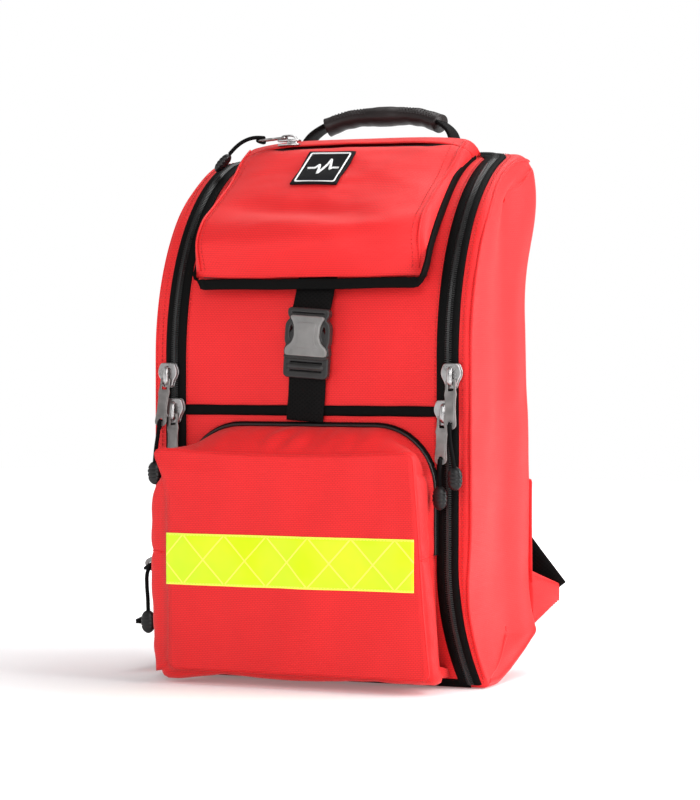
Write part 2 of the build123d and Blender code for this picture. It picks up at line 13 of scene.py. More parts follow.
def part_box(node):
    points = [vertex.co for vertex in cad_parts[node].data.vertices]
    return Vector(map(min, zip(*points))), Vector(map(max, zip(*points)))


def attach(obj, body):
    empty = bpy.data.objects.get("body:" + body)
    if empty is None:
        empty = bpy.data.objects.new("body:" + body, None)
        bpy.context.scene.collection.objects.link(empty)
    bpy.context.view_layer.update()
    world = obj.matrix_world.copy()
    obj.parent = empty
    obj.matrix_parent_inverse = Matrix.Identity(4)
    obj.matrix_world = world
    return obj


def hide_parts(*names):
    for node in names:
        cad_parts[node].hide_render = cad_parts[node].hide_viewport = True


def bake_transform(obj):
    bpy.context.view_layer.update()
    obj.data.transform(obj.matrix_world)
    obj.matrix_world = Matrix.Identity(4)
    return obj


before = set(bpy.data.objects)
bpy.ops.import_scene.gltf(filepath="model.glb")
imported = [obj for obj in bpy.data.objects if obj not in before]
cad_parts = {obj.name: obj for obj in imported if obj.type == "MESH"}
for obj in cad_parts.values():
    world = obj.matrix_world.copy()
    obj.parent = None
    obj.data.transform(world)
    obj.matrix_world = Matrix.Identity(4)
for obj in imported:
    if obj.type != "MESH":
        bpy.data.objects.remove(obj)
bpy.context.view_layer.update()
MM = 0.001


def node_box(node):
    """A CAD node's box in millimetres."""
    low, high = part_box(node)
    return low / MM, high / MM


# ---------------------------------------------------------------- main sizes
shell_low, shell_high = node_box("rear_shell")
FRONT_Y = shell_low.y
BACK_Y = shell_high.y
TOP_Z = 523
SHOULDER_Z = 318
FLARE_TOP = 120
FOOT_SETBACK = 30  # how far the foot of the front lies behind its face
BODY_HALF = 162
BODY_FLARE = 12
ZIP_X = 145
ZIP_FLARE = 14
ZIP_REAR = 65  # depth of the zip's run across the top
ZIP_CORNER = 32
TAPE_WIDTH = 11.5
PANEL_LOW = 4  # height of the front panel's lower edge
DEPTH = BACK_Y - FRONT_Y
CROWN_RISE = TOP_Z - SHOULDER_Z
BAND_LOW = 261
BAND_HIGH = 271
TAPE_LOW = 97  # the reflective tape's edges on the pocket
TAPE_HIGH = 147
TAPE_MIDDLE_Z = (TAPE_LOW + TAPE_HIGH) / 2
TAPE_CROSS_SLOPE = 0.92  # of the welded lines across the tape
COIL_PITCH = 2.1
ZIP_STEP = 3.5
WEB_WIDTH = 25
CIRCLE_POINTS = 18
FLOOR_CLEARANCE = 0.2
CLOTH_STIFFNESS = 12


# ---------------------------------------------------------------- camera
CAMERA_TARGET = (43.9, FRONT_Y, 273.5)
CAMERA_AZIMUTH = math.radians(22.85)
CAMERA_ELEVATION = math.radians(1.05)
CAMERA_DISTANCE = 2.567


def make_camera():
    back = Vector((
        math.sin(CAMERA_AZIMUTH) * math.cos(CAMERA_ELEVATION),
        -math.cos(CAMERA_AZIMUTH) * math.cos(CAMERA_ELEVATION),
        math.sin(CAMERA_ELEVATION),
    ))
    data = bpy.data.cameras.new("camera")
    data.lens = 119.66
    data.sensor_width = 36
    data.shift_x = -0.0008
    data.shift_y = 0.0039
    camera = bpy.data.objects.new("camera", data)
    camera.location = Vector(CAMERA_TARGET) * MM + back * CAMERA_DISTANCE
    camera.rotation_euler = (-back).to_track_quat("-Z", "Y").to_euler()
    bpy.context.scene.collection.objects.link(camera)
    bpy.context.scene.camera = camera


make_camera()


# ---------------------------------------------------------------- mesh helpers
def add_object(name, data, material=None):
    obj = bpy.data.objects.new(name, data)
    bpy.context.scene.collection.objects.link(obj)
    if material:
        data.materials.append(material)
    return obj


def mesh_object(name, points, faces, material=None, smooth=True):
    """A mesh from points in millimetres."""
    data = bpy.data.meshes.new(name)
    data.from_pydata([tuple(Vector(p) * MM) for p in points], [], faces)
    data.validate()
    obj = add_object(name, data, material)
    for polygon in data.polygons:
        polygon.use_smooth = smooth
    return obj


def grid_object(name, rows, material=None, closed_rows=False, closed_columns=False):
    """A mesh from a grid of points: rows is an array of row x column x 3."""
    rows = np.asarray(rows, float)
    count, width = rows.shape[:2]
    faces = []
    for i in range(count if closed_rows else count - 1):
        for j in range(width if closed_columns else width - 1):
            a, b = i * width + j, i * width + (j + 1) % width
            c, d = ((i + 1) % count) * width + (j + 1) % width, ((i + 1) % count) * width + j
            faces.append((a, b, c, d))
    return mesh_object(name, rows.reshape(-1, 3), faces, material)


def repair(obj, step):
    """Runs one step on an object's mesh and turns every face outwards."""
    work = bmesh.new()
    work.from_mesh(obj.data)
    step(work)
    bmesh.ops.recalc_face_normals(work, faces=work.faces)
    work.to_mesh(obj.data)
    work.free()
    return obj


def clean(obj, distance=0.02):
    """Joins points that lie on each other."""
    return repair(obj, lambda work: bmesh.ops.remove_doubles(work, verts=work.verts, dist=distance * MM))


def modifier(obj, kind, **settings):
    made = obj.modifiers.new(kind.lower(), kind)
    for key, value in settings.items():
        setattr(made, key, value)
    return made


def bake_modifiers(obj):
    """Replaces an object's mesh by the mesh with its modifiers applied."""
    graph = bpy.context.evaluated_depsgraph_get()
    baked = bpy.data.meshes.new_from_object(obj.evaluated_get(graph))
    obj.modifiers.clear()
    obj.data = baked
    return obj


def box_uv(obj):
    """A flat UV map in metres, taken along the axis that each face looks along most."""
    data = obj.data
    layer = data.uv_layers.get("weave") or data.uv_layers.new(name="weave")
    for polygon in data.polygons:
        n = polygon.normal
        size = (abs(n.x), abs(n.y), abs(n.z))
        for index in polygon.loop_indices:
            p = data.vertices[data.loops[index].vertex_index].co
            if size[1] >= size[0] and size[1] >= size[2] * 0.8:
                layer.data[index].uv = (p.x, p.z)
            elif size[0] >= size[2]:
                layer.data[index].uv = (p.y, p.z)
            else:
                layer.data[index].uv = (p.x, p.y)
    return obj


def wrinkle(obj, height, scale, seed, mask=None):
    """Moves points along their normals by smooth noise; mask gives each point's share."""
    data = obj.data
    normals = [v.normal.copy() for v in data.vertices]
    for v, n in zip(data.vertices, normals):
        p = v.co / MM
        share = mask(p) if mask else 1
        if share:
            v.co += n * height * MM * share * noise.noise(Vector(p) / scale + Vector((seed, seed * 2, -seed)))
    data.update()
    return obj


def finish_cloth(obj, thickness=2.4, levels=1, even=True):
    """Gives a sheet its fabric thickness and smooths it."""
    modifier(obj, "SOLIDIFY", thickness=thickness * MM, offset=-1, use_even_offset=even)
    modifier(obj, "SUBSURF", levels=levels, render_levels=levels)
    bake_modifiers(obj)
    box_uv(obj)
    return obj


def keep_above_floor(obj):
    """Flattens what would sag through the floor."""
    for v in obj.data.vertices:
        v.co.z = max(v.co.z, FLOOR_CLEARANCE * MM)


def inflate(obj, pinned, pressure, frames, limit):
    """Fills a piece by cloth simulation: pinned points stay, the others move by at most limit."""
    start = [v.co.copy() for v in obj.data.vertices]
    group = obj.vertex_groups.new(name="pin")
    for index, share in pinned.items():
        group.add([index], share, "REPLACE")
    cloth = modifier(obj, "CLOTH")
    settings = cloth.settings
    settings.quality = 6
    settings.mass = 0.25
    settings.tension_stiffness = settings.compression_stiffness = CLOTH_STIFFNESS
    settings.shear_stiffness = CLOTH_STIFFNESS / 2
    settings.bending_stiffness = 0.6
    settings.tension_damping = settings.compression_damping = 12
    settings.vertex_group_mass = "pin"
    settings.use_pressure = True
    settings.uniform_pressure_force = pressure
    settings.effector_weights.gravity = 0.0
    cloth.collision_settings.use_collision = False
    cloth.point_cache.frame_start = 1
    cloth.point_cache.frame_end = frames
    scene = bpy.context.scene
    for step in range(1, frames + 1):
        scene.frame_set(step)
    graph = bpy.context.evaluated_depsgraph_get()
    moved = [v.co.copy() for v in obj.evaluated_get(graph).data.vertices]
    obj.modifiers.clear()
    obj.vertex_groups.clear()
    for v, a, b in zip(obj.data.vertices, start, moved):
        step = b - a
        if step.length > limit * MM:
            step = step.normalized() * limit * MM
        v.co = a + step
    obj.data.update()
    scene.frame_set(1)


# ---------------------------------------------------------------- materials
def node_material(name):
    material = bpy.data.materials.new(name)
    material.use_nodes = True
    tree = material.node_tree
    shader = tree.nodes["Principled BSDF"]
    return material, tree, shader


def link(tree, a, b):
    tree.links.new(a, b)


def add_node(tree, kind, **settings):
    node = tree.nodes.new(kind)
    for key, value in settings.items():
        if key in node.inputs:
            node.inputs[key].default_value = value
        else:
            setattr(node, key, value)
    return node


def set_inputs(node, values):
    for key, value in values.items():
        node.inputs[key].default_value = value


def uv_source(tree):
    return add_node(tree, "ShaderNodeUVMap", uv_map="weave").outputs[0]


def object_source(tree):
    return add_node(tree, "ShaderNodeTexCoord").outputs["Object"]


def mix_colour(tree, factor, a, b, blend="MIX"):
    node = add_node(tree, "ShaderNodeMix", data_type="RGBA", blend_type=blend)
    for socket, value in ((node.inputs[0], factor), (node.inputs[6], a), (node.inputs[7], b)):
        if isinstance(value, (tuple, float, int)):
            socket.default_value = value
        else:
            link(tree, value, socket)
    return node.outputs[2]


def ramp(tree, source, stops):
    node = add_node(tree, "ShaderNodeValToRGB")
    link(tree, source, node.inputs[0])
    elements = node.color_ramp.elements
    while len(elements) < len(stops):
        elements.new(0.5)
    for element, (position, value) in zip(elements, stops):
        element.position = position
        element.color = (value, value, value, 1) if isinstance(value, (int, float)) else value
    return node.outputs[0]


def bump_chain(tree, shader, layers):
    """Stacks bumps: each layer is a height output and its size in metres."""
    last = None
    for height, distance, strength in layers:
        bump = add_node(tree, "ShaderNodeBump", Strength=strength, Distance=distance)
        link(tree, height, bump.inputs["Height"])
        if last:
            link(tree, last, bump.inputs["Normal"])
        last = bump.outputs[0]
    link(tree, last, shader.inputs["Normal"])


def noise_texture(tree, scale, detail):
    node = add_node(tree, "ShaderNodeTexNoise", Scale=scale, Detail=detail)
    link(tree, object_source(tree), node.inputs["Vector"])
    return node.outputs[0]


def shade_base(tree, shader, colour, tone):
    """Makes the base colour a colour multiplied by a tone."""
    link(tree, mix_colour(tree, 1.0, colour, tone, "MULTIPLY"), shader.inputs["Base Color"])


def vary_roughness(tree, shader, source, low, high):
    rough = add_node(tree, "ShaderNodeMapRange", **{"To Min": low, "To Max": high})
    link(tree, source, rough.inputs[0])
    link(tree, rough.outputs[0], shader.inputs["Roughness"])


def coated_fabric(name, colour, rib, dark, roughness=0.5):
    """Coated ribbed weave: offset rows of small ribs, a soft sheen and slight unevenness."""
    material, tree, shader = node_material(name)
    weave = add_node(
        tree, "ShaderNodeTexBrick", offset=0.5, Scale=1.0,
        **{"Brick Width": rib[0], "Row Height": rib[1], "Mortar Size": rib[1] * 0.16, "Mortar Smooth": 1.0},
    )
    link(tree, uv_source(tree), weave.inputs["Vector"])
    spots = noise_texture(tree, 9.0, 4.0)
    grain = noise_texture(tree, 900.0, 2.0)
    shade = ramp(tree, spots, ((0.3, 0.93), (0.7, 1.0)))
    lines = ramp(tree, weave.outputs["Fac"], ((0.0, 1.0), (1.0, dark)))
    shade_base(tree, shader, mix_colour(tree, 1.0, colour, shade, "MULTIPLY"), lines)
    vary_roughness(tree, shader, grain, roughness - 0.05, roughness + 0.08)
    set_inputs(shader, {
        "Sheen Weight": 0.10, "Sheen Roughness": 0.4, "Specular IOR Level": 0.22, "Sheen Tint": (1.0, 0.75, 0.7, 1),
    })
    inverse = add_node(tree, "ShaderNodeMath", operation="SUBTRACT")
    inverse.inputs[0].default_value = 1.0
    link(tree, weave.outputs["Fac"], inverse.inputs[1])
    bump_chain(tree, shader, (
        (inverse.outputs[0], 0.0002, 0.5), (grain, 0.00006, 0.3), (spots, 0.002, 0.25),
    ))
    return material


def webbing_fabric(name, colour, pitch=0.0016, roughness=0.62):
    """Woven webbing: a herringbone of fine diagonal yarns."""
    material, tree, shader = node_material(name)
    heights = []
    for turn in (0.9, -0.9):
        mapping = add_node(tree, "ShaderNodeMapping")
        mapping.inputs["Rotation"].default_value[2] = turn
        link(tree, uv_source(tree), mapping.inputs["Vector"])
        wave = add_node(
            tree, "ShaderNodeTexWave", Scale=1 / pitch / 6.283, Distortion=0.4, **{"Detail Scale": 2.0}
        )
        link(tree, mapping.outputs[0], wave.inputs["Vector"])
        heights.append(wave.outputs["Fac"])
    both = add_node(tree, "ShaderNodeMath", operation="MAXIMUM")
    link(tree, heights[0], both.inputs[0])
    link(tree, heights[1], both.inputs[1])
    fuzz = noise_texture(tree, 700.0, 3.0)
    shade_base(tree, shader, colour, ramp(tree, both.outputs[0], ((0.1, 0.45), (0.9, 1.25))))
    set_inputs(shader, {"Roughness": roughness, "Specular IOR Level": 0.06})
    bump_chain(tree, shader, ((both.outputs[0], 0.00025, 0.7), (fuzz, 0.0001, 0.4)))
    return material


def mesh_fabric(name, colour):
    """Spacer mesh: round open cells over foam."""
    hole = 0.0032
    material, tree, shader = node_material(name)
    cells = add_node(tree, "ShaderNodeTexVoronoi", Scale=1 / hole, Randomness=0.15, feature="SMOOTH_F1")
    link(tree, object_source(tree), cells.inputs["Vector"])
    fuzz = noise_texture(tree, 400.0, 3.0)
    shade_base(tree, shader, colour, ramp(tree, cells.outputs["Distance"], ((0.15, 0.25), (0.5, 1.3))))
    set_inputs(shader, {"Roughness": 0.75, "Specular IOR Level": 0.3})
    bump_chain(tree, shader, ((cells.outputs["Distance"], 0.0006, 0.6), (fuzz, 0.0001, 0.3)))
    return material


def moulded_plastic(name, colour, roughness, coat=0.0):
    """Plastic with a fine moulded grain and faint smudges."""
    material, tree, shader = node_material(name)
    grain = noise_texture(tree, 1500.0, 2.0)
    smudge = noise_texture(tree, 60.0, 4.0)
    shade_base(tree, shader, colour, ramp(tree, smudge, ((0.3, 0.85), (0.75, 1.15))))
    vary_roughness(tree, shader, smudge, roughness - 0.08, roughness + 0.1)
    set_inputs(shader, {"Coat Weight": coat, "Coat Roughness": 0.15, "Specular IOR Level": 0.28})
    bump_chain(tree, shader, ((grain, 0.00004, 0.35),))
    return material


def metal(name, colour, roughness, brushed=0.0):
    """Plated metal with wear; brushed draws the grain out along Z."""
    material, tree, shader = node_material(name)
    mapping = add_node(tree, "ShaderNodeMapping")
    mapping.inputs["Scale"].default_value = (1.0, 1.0, 0.08 if brushed else 1.0)
    link(tree, object_source(tree), mapping.inputs["Vector"])
    grain = add_node(tree, "ShaderNodeTexNoise", Scale=2200.0 if brushed else 500.0, Detail=3.0)
    link(tree, mapping.outputs[0], grain.inputs["Vector"])
    wear = noise_texture(tree, 120.0, 5.0)
    shade_base(tree, shader, colour, ramp(tree, wear, ((0.3, 0.8), (0.7, 1.08))))
    vary_roughness(tree, shader, wear, roughness - 0.06, roughness + 0.12)
    set_inputs(shader, {"Metallic": 1.0})
    bump_chain(tree, shader, ((grain.outputs[0], 0.00005, 0.2 + brushed),))
    return material


def reflective_film(name):
    """Prismatic film: lime squares between paler welded lines, with lengthwise lines at the edges, and a faint painted
    glow in the same colour.
    """
    period, line_half, edge_line = 0.0442, 0.0009, 0.0228
    material, tree, shader = node_material(name)
    parts = add_node(tree, "ShaderNodeSeparateXYZ")
    link(tree, uv_source(tree), parts.inputs[0])

    def math_node(operation, *values):
        node = add_node(tree, "ShaderNodeMath", operation=operation)
        for socket, value in zip(node.inputs, values):
            if isinstance(value, (int, float)):
                socket.default_value = value
            else:
                link(tree, value, socket)
        return node.outputs[0]

    across = math_node("SUBTRACT", parts.outputs[1], TAPE_MIDDLE_Z * MM)
    lines = []
    for sign in (1, -1):
        slanted = math_node("MULTIPLY", across, sign * TAPE_CROSS_SLOPE)
        position = math_node("ADD", parts.outputs[0], slanted)
        lines.append(math_node("LESS_THAN", math_node("PINGPONG", position, period / 2), line_half))
    lines.append(math_node("GREATER_THAN", math_node("ABSOLUTE", across), edge_line))
    weld = math_node("MAXIMUM", math_node("MAXIMUM", lines[0], lines[1]), lines[2])
    prism = add_node(tree, "ShaderNodeTexVoronoi", Scale=700.0, feature="F1")
    link(tree, object_source(tree), prism.inputs["Vector"])
    lime = mix_colour(tree, noise_texture(tree, 30.0, 2.0), (0.52, 0.90, 0.0, 1), (0.70, 0.98, 0.0, 1))
    base = mix_colour(tree, weld, lime, (0.86, 1.0, 0.10, 1))
    link(tree, base, shader.inputs["Base Color"])
    # The tape's colour also feeds its emission: a painted glow that makes the lime brighter than the lamps alone light
    # it.
    link(tree, base, shader.inputs["Emission Color"])
    set_inputs(shader, {
        "Emission Strength": 0.10, "Roughness": 0.3, "Coat Weight": 0.25, "Coat Roughness": 0.12,
        "Specular IOR Level": 0.3,
    })
    bump_chain(tree, shader, ((weld, 0.0005, 0.6), (prism.outputs["Distance"], 0.0001, 0.25)))
    return material


RED = coated_fabric("red_fabric", (0.80, 0.021, 0.023, 1), (0.0034, 0.0018), 0.62)
RED_STITCH = coated_fabric("red_thread", (0.55, 0.02, 0.02, 1), (0.0008, 0.0008), 0.6, 0.6)
LINING = coated_fabric("grey_lining", (0.045, 0.045, 0.05, 1), (0.0016, 0.0012), 0.7, 0.7)
BLACK_TAPE = webbing_fabric("black_zip_tape", (0.003, 0.003, 0.003, 1), 0.0011)
COIL = moulded_plastic("black_coil", (0.016, 0.016, 0.016, 1), 0.3, coat=0.15)
WEBBING = webbing_fabric("black_webbing", (0.004, 0.0037, 0.0037, 1))
BINDING = webbing_fabric("black_binding", (0.003, 0.003, 0.003, 1), 0.0009, 0.7)
MESH = mesh_fabric("black_mesh", (0.020, 0.020, 0.022, 1))
PLASTIC = moulded_plastic("black_plastic", (0.022, 0.021, 0.021, 1), 0.34, coat=0.15)
CORD = webbing_fabric("black_cord", (0.006, 0.006, 0.0065, 1), 0.0009)
TOGGLE = moulded_plastic("black_toggle", (0.007, 0.007, 0.0075, 1), 0.34, coat=0.12)
GRIP = moulded_plastic("black_grip", (0.016, 0.012, 0.012, 1), 0.45)
SLIDER = metal("slider_metal", (0.46, 0.45, 0.45, 1), 0.26)
PULLER = metal("puller_metal", (0.27, 0.255, 0.25, 1), 0.36, 0.25)
TAPE = reflective_film("lime_tape")
BADGE = webbing_fabric("black_badge", (0.010, 0.010, 0.011, 1), 0.0007)
BADGE_MARK = webbing_fabric("white_thread", (0.80, 0.80, 0.80, 1), 0.0007)
BOARD = moulded_plastic("black_board", (0.03, 0.03, 0.033, 1), 0.5)
TAPE_THREAD = webbing_fabric("lime_thread", (0.55, 0.80, 0.02, 1), 0.0008)
# Black plastic given a lighter grey base colour: painted glare that stands in for the reflection on the buckle's glossy
# face.
GLARE_PAINTED_PLASTIC = moulded_plastic("black_plastic_painted_glare", (0.20, 0.195, 0.19, 1), 0.30, coat=0.5)


# ---------------------------------------------------------------- the pack's front surface
FOOT_POINTS = 40
STRAIGHT_POINTS = 39
CROWN_START = FOOT_POINTS + STRAIGHT_POINTS


def front_line():
    """Foot arc, straight front and quarter-ellipse crown in the YZ plane, from the floor to the back."""
    radius = (FOOT_SETBACK ** 2 + FLARE_TOP ** 2) / (2 * FOOT_SETBACK)
    points = [
        (FRONT_Y + radius - math.sqrt(radius ** 2 - (FLARE_TOP - z) ** 2), z)
        for z in np.linspace(0, FLARE_TOP, FOOT_POINTS)
    ]
    points += [(FRONT_Y, z) for z in np.linspace(FLARE_TOP, SHOULDER_Z, STRAIGHT_POINTS + 1)[1:]]
    points += [
        (BACK_Y + DEPTH * math.cos(a), SHOULDER_Z + CROWN_RISE * math.sin(a))
        for a in np.linspace(math.pi, math.pi / 2, 140)[1:]
    ]
    return np.array(points)


def lengths_along(points):
    """A line's length up to each of its points."""
    return np.concatenate(([0], np.cumsum(np.linalg.norm(np.diff(points, axis=0), axis=1))))


def outward_directions(line):
    """Outward direction at each point of a line in the YZ plane."""
    tangent = np.gradient(line, axis=0)
    tangent /= np.linalg.norm(tangent, axis=1)[:, None]
    return np.stack([-tangent[:, 1], tangent[:, 0]], axis=1)


LINE = front_line()
LINE_T = lengths_along(LINE)
LINE_NORMAL = outward_directions(LINE)


def on_front(x, t, gap=0.0):
    """The point at length t along the front line, at x, raised by gap."""
    y, z, ny, nz = (np.interp(t, LINE_T, column) for column in (LINE[:, 0], LINE[:, 1], *LINE_NORMAL.T))
    return (x, y + ny * gap, z + nz * gap)


def t_at_height(z):
    """Length along the front line at a height."""
    return float(np.interp(z, LINE[:, 1], LINE_T))


def t_at_depth(y):
    """Length along the front line at a depth on the crown."""
    return float(np.interp(y, LINE[CROWN_START:, 0], LINE_T[CROWN_START:]))


def front_normal(p):
    """Outward direction of the front surface nearest to a point."""
    n = LINE_NORMAL[int(np.argmin(np.hypot(LINE[:, 0] - p[1], LINE[:, 1] - p[2])))]
    return Vector((0, n[0], n[1]))


def flare(z, amount):
    """How much wider the pack gets towards its foot."""
    return amount * max(0.0, (FLARE_TOP - z) / FLARE_TOP) ** 2


def zip_half(t, grow=0.0):
    """Half-width inside the zip line at length t, with the rounded top corners."""
    _, y, z = on_front(0, t)
    turn = ZIP_REAR - ZIP_CORNER
    if z > SHOULDER_Z and y > turn:
        radius = ZIP_CORNER + grow
        return ZIP_X - ZIP_CORNER + math.sqrt(max(0.0, radius ** 2 - (y - turn) ** 2))
    return ZIP_X + grow + flare(z, ZIP_FLARE)


def zip_line(grow, gap, low=PANEL_LOW):
    """Points along the zip, grown sideways and raised, from the left foot over the top to the right foot."""
    turn = ZIP_REAR - ZIP_CORNER
    t_turn = t_at_depth(turn)
    centre = ZIP_X - ZIP_CORNER
    count = int((t_turn - t_at_height(low)) / ZIP_STEP)
    right = [on_front(zip_half(t, grow), t, gap) for t in np.linspace(t_at_height(low), t_turn, count)]
    for angle in np.linspace(0, math.pi / 2, 16)[1:]:
        x = centre + (ZIP_CORNER + grow) * math.cos(angle)
        right.append(on_front(x, t_at_depth(turn + (ZIP_CORNER + grow) * math.sin(angle)), gap))
    rear = t_at_depth(ZIP_REAR + grow)
    top = [on_front(x, rear, gap) for x in np.linspace(centre, 0, int(centre / ZIP_STEP))[1:]]
    chain = right + top
    return np.array([(-x, y, z) for x, y, z in chain] + chain[-2::-1])


def resample(points, step):
    """The same line with evenly spaced points."""
    points = np.array(points, float)
    lengths = lengths_along(points)
    marks = np.linspace(0, lengths[-1], max(2, int(round(lengths[-1] / step)) + 1))
    return np.stack([np.interp(marks, lengths, points[:, k]) for k in range(3)], axis=1)


def smooth_step(a, b, value):
    share = min(1.0, max(0.0, (value - a) / (b - a)))
    return share * share * (3 - 2 * share)


def spline(points, count=40):
    """A smooth line through given points."""
    points = np.array(points, float)
    marks = lengths_along(points)
    slopes = np.gradient(points, marks, axis=0)
    out = []
    for m in np.linspace(0, marks[-1], count):
        i = min(max(int(np.searchsorted(marks, m)) - 1, 0), len(points) - 2)
        h = marks[i + 1] - marks[i]
        u = (m - marks[i]) / h
        out.append(
            points[i] * (2 * u ** 3 - 3 * u ** 2 + 1) + slopes[i] * h * (u ** 3 - 2 * u ** 2 + u)
            + points[i + 1] * (3 * u ** 2 - 2 * u ** 3) + slopes[i + 1] * h * (u ** 3 - u ** 2)
        )
    return np.array(out)


# ---------------------------------------------------------------- small repeated details
def fill_ends(obj):
    """Closes a piece's open ends."""
    def fill(work):
        bmesh.ops.holes_fill(work, edges=[e for e in work.edges if e.is_boundary], sides=0)

    return box_uv(repair(obj, fill))


def ring_faces(start, rings, sides):
    """Faces between closed rings of points, which are listed one ring after another."""
    faces = []
    for ring in range(start, start + (rings - 1) * sides, sides):
        for k in range(sides):
            a, b = ring + k, ring + (k + 1) % sides
            faces.append((a, b, b + sides, a + sides))
    return faces


def stitches(name, points, normal, body, pitch=4.2, stitch=2.9, width=0.7, lift=0.1, material=None):
    """A row of thread stitches along a line, as small rounded bars in one mesh."""
    points = resample(points, pitch)
    verts, faces = [], []
    for here, after in zip(points, points[1:]):
        a, b = Vector(here), Vector(after)
        along = (b - a).normalized()
        up = normal(a) if callable(normal) else Vector(normal)
        side = along.cross(up).normalized()
        start = len(verts)
        for place, swell, rise in ((0.0, 0.35, -0.3), (0.3, 1, 0.25), (0.7, 1, 0.25), (1.0, 0.35, -0.3)):
            middle = a + along * stitch * place + up * (lift + rise * width)
            for k in range(4):
                angle = math.pi * (0.25 + k / 2)
                verts.append(middle + (side * math.cos(angle) + up * math.sin(angle)) * width * 0.6 * swell)
        faces += ring_faces(start, 4, 4)
        faces.append(tuple(start + k for k in range(4)))
        faces.append(tuple(start + 12 + k for k in reversed(range(4))))
    obj = box_uv(clean(mesh_object(name, verts, faces, material or RED_STITCH), 0.001))
    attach(obj, body)


def frames_along(points, up=None, closed=False):
    """Direction and two crossing directions at each point of a line."""
    points = [Vector(p) for p in points]
    last, out = None, []
    for i, p in enumerate(points):
        before = points[i - 1] if (i or closed) else p
        after = points[(i + 1) % len(points)] if (i < len(points) - 1 or closed) else p
        along = (after - before).normalized()
        guide = Vector(up) if up is not None else (last or along.orthogonal())
        side = (guide - along * guide.dot(along)).normalized()
        last = side
        out.append((p, along, side, along.cross(side)))
    return out


def turn_angles(count):
    return np.linspace(0, 2 * math.pi, count, endpoint=False)


def signed_power(value, power):
    return math.copysign(abs(value) ** power, value)


def tube(name, points, radius, material, sides=10, closed=False, up=None):
    """A tube along points; radius is one size, or gives two half-axes for a share of the length."""
    framed = frames_along(points, up, closed)
    rows = []
    for i, (p, _, side, other) in enumerate(framed):
        a, b = radius(i / (len(framed) - 1)) if callable(radius) else (radius, radius)
        rows.append([
            p + side * math.cos(angle) * a + other * math.sin(angle) * b for angle in turn_angles(sides)
        ])
    obj = grid_object(name, rows, material, closed_rows=closed, closed_columns=True)
    return box_uv(obj) if closed else fill_ends(obj)


def ribbon(name, points, width, thick, across, material):
    """Flat webbing along points, with rounded edges; across is the direction of its width."""
    rows = []
    w, h = width / 2, thick / 2
    e = h * 0.7
    outline = (
        (-w, -h + e), (-w + e, -h), (-w / 3, -h), (w / 3, -h), (w - e, -h), (w, -h + e),
        (w, h - e), (w - e, h), (w / 3, h), (-w / 3, h), (-w + e, h), (-w, h - e),
    )
    for p, _, side, other in frames_along(points, across):
        rows.append([p + side * a + other * b for a, b in outline])
    return fill_ends(grid_object(name, rows, material, closed_columns=True))


def plate(name, loops, plane, depth, bevel, material, lift=0.0):
    """A flat piece with rounded edges and holes: loops are its outline and holes in the plane's own X and Y."""
    origin, x_dir, y_dir = (Vector(v) for v in plane)
    x_dir, y_dir = x_dir.normalized(), y_dir.normalized()
    normal = x_dir.cross(y_dir)
    data = bpy.data.curves.new(name, "CURVE")
    data.dimensions = "2D"
    data.fill_mode = "BOTH"
    data.extrude = max(depth / 2 - bevel, 0.01) * MM
    data.bevel_depth = bevel * MM
    data.bevel_resolution = 2
    for loop in loops:
        line = data.splines.new("POLY")
        line.points.add(len(loop) - 1)
        for point, (x, y) in zip(line.points, loop):
            point.co = (x * MM, y * MM, 0, 1)
        line.use_cyclic_u = True
    shape = bpy.data.objects.new(name + "_outline", data)
    mesh = bpy.data.meshes.new_from_object(shape)
    bpy.data.objects.remove(shape)
    bpy.data.curves.remove(data)
    turn = Matrix((x_dir, y_dir, normal)).transposed().to_4x4()
    turn.translation = (origin + normal * (lift + depth / 2)) * MM
    mesh.transform(turn)
    mesh.materials.clear()
    obj = add_object(name, mesh, material)
    for polygon in mesh.polygons:
        polygon.use_smooth = False
    modifier(obj, "WELD", merge_threshold=0.01 * MM)
    bake_modifiers(obj)
    return box_uv(obj)


def rounded_loop(corners, radius, steps=5):
    """A closed outline with each corner rounded; radius is one size or one for each corner."""
    out = []
    for i, corner in enumerate(corners):
        r = radius[i] if isinstance(radius, (tuple, list)) else radius
        p, before, after = Vector(corner), Vector(corners[i - 1]), Vector(corners[(i + 1) % len(corners)])
        a, b = before - p, after - p
        reach = min(r, a.length * 0.48, b.length * 0.48)
        a, b = p + a.normalized() * reach, p + b.normalized() * reach
        for u in np.linspace(0, 1, steps):
            out.append(tuple(a * (1 - u) ** 2 + p * 2 * u * (1 - u) + b * u ** 2))
    return out


def circle_loop(x, y, rx, ry=None):
    ry = ry or rx
    return [(x + rx * math.cos(a), y + ry * math.sin(a)) for a in turn_angles(CIRCLE_POINTS)]


def box_loop(half, low, high, radius):
    """A rounded box outline, centred on x = 0, from its corner at -half and low."""
    return rounded_loop(((-half, low), (half, low), (half, high), (-half, high)), radius)


def coil(name, side, body):
    """One half of the main zip's coil: small loops that reach from one tape over the middle line."""
    line = resample(zip_line(0, 0), COIL_PITCH)
    verts, faces = [], []
    for i in range(1, len(line) - 1):
        p = Vector(line[i]) + (Vector(line[i + 1]) - Vector(line[i])) * (0.5 if side > 0 else 0)
        along = Vector(line[i + 1] - line[i - 1]).normalized()
        up = front_normal(p)
        inward = along.cross(up).normalized() * side
        start = len(verts)
        for reach, rise, half in ((-3.6, 1.3, 0.5), (-1.2, 2.9, 0.56), (1.1, 2.5, 0.44)):
            middle = p + inward * reach + up * rise
            for a, b in ((-half, -0.5), (half, -0.5), (half, 0.45), (-half, 0.45)):
                verts.append(middle + along * a + up * b)
        faces += ring_faces(start, 3, 4)
        faces.append(tuple(start + k for k in reversed(range(4))))
        faces.append(tuple(start + 8 + k for k in range(4)))
    obj = box_uv(clean(mesh_object(name, verts, faces, COIL, smooth=False), 0.0005))
    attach(obj, body)


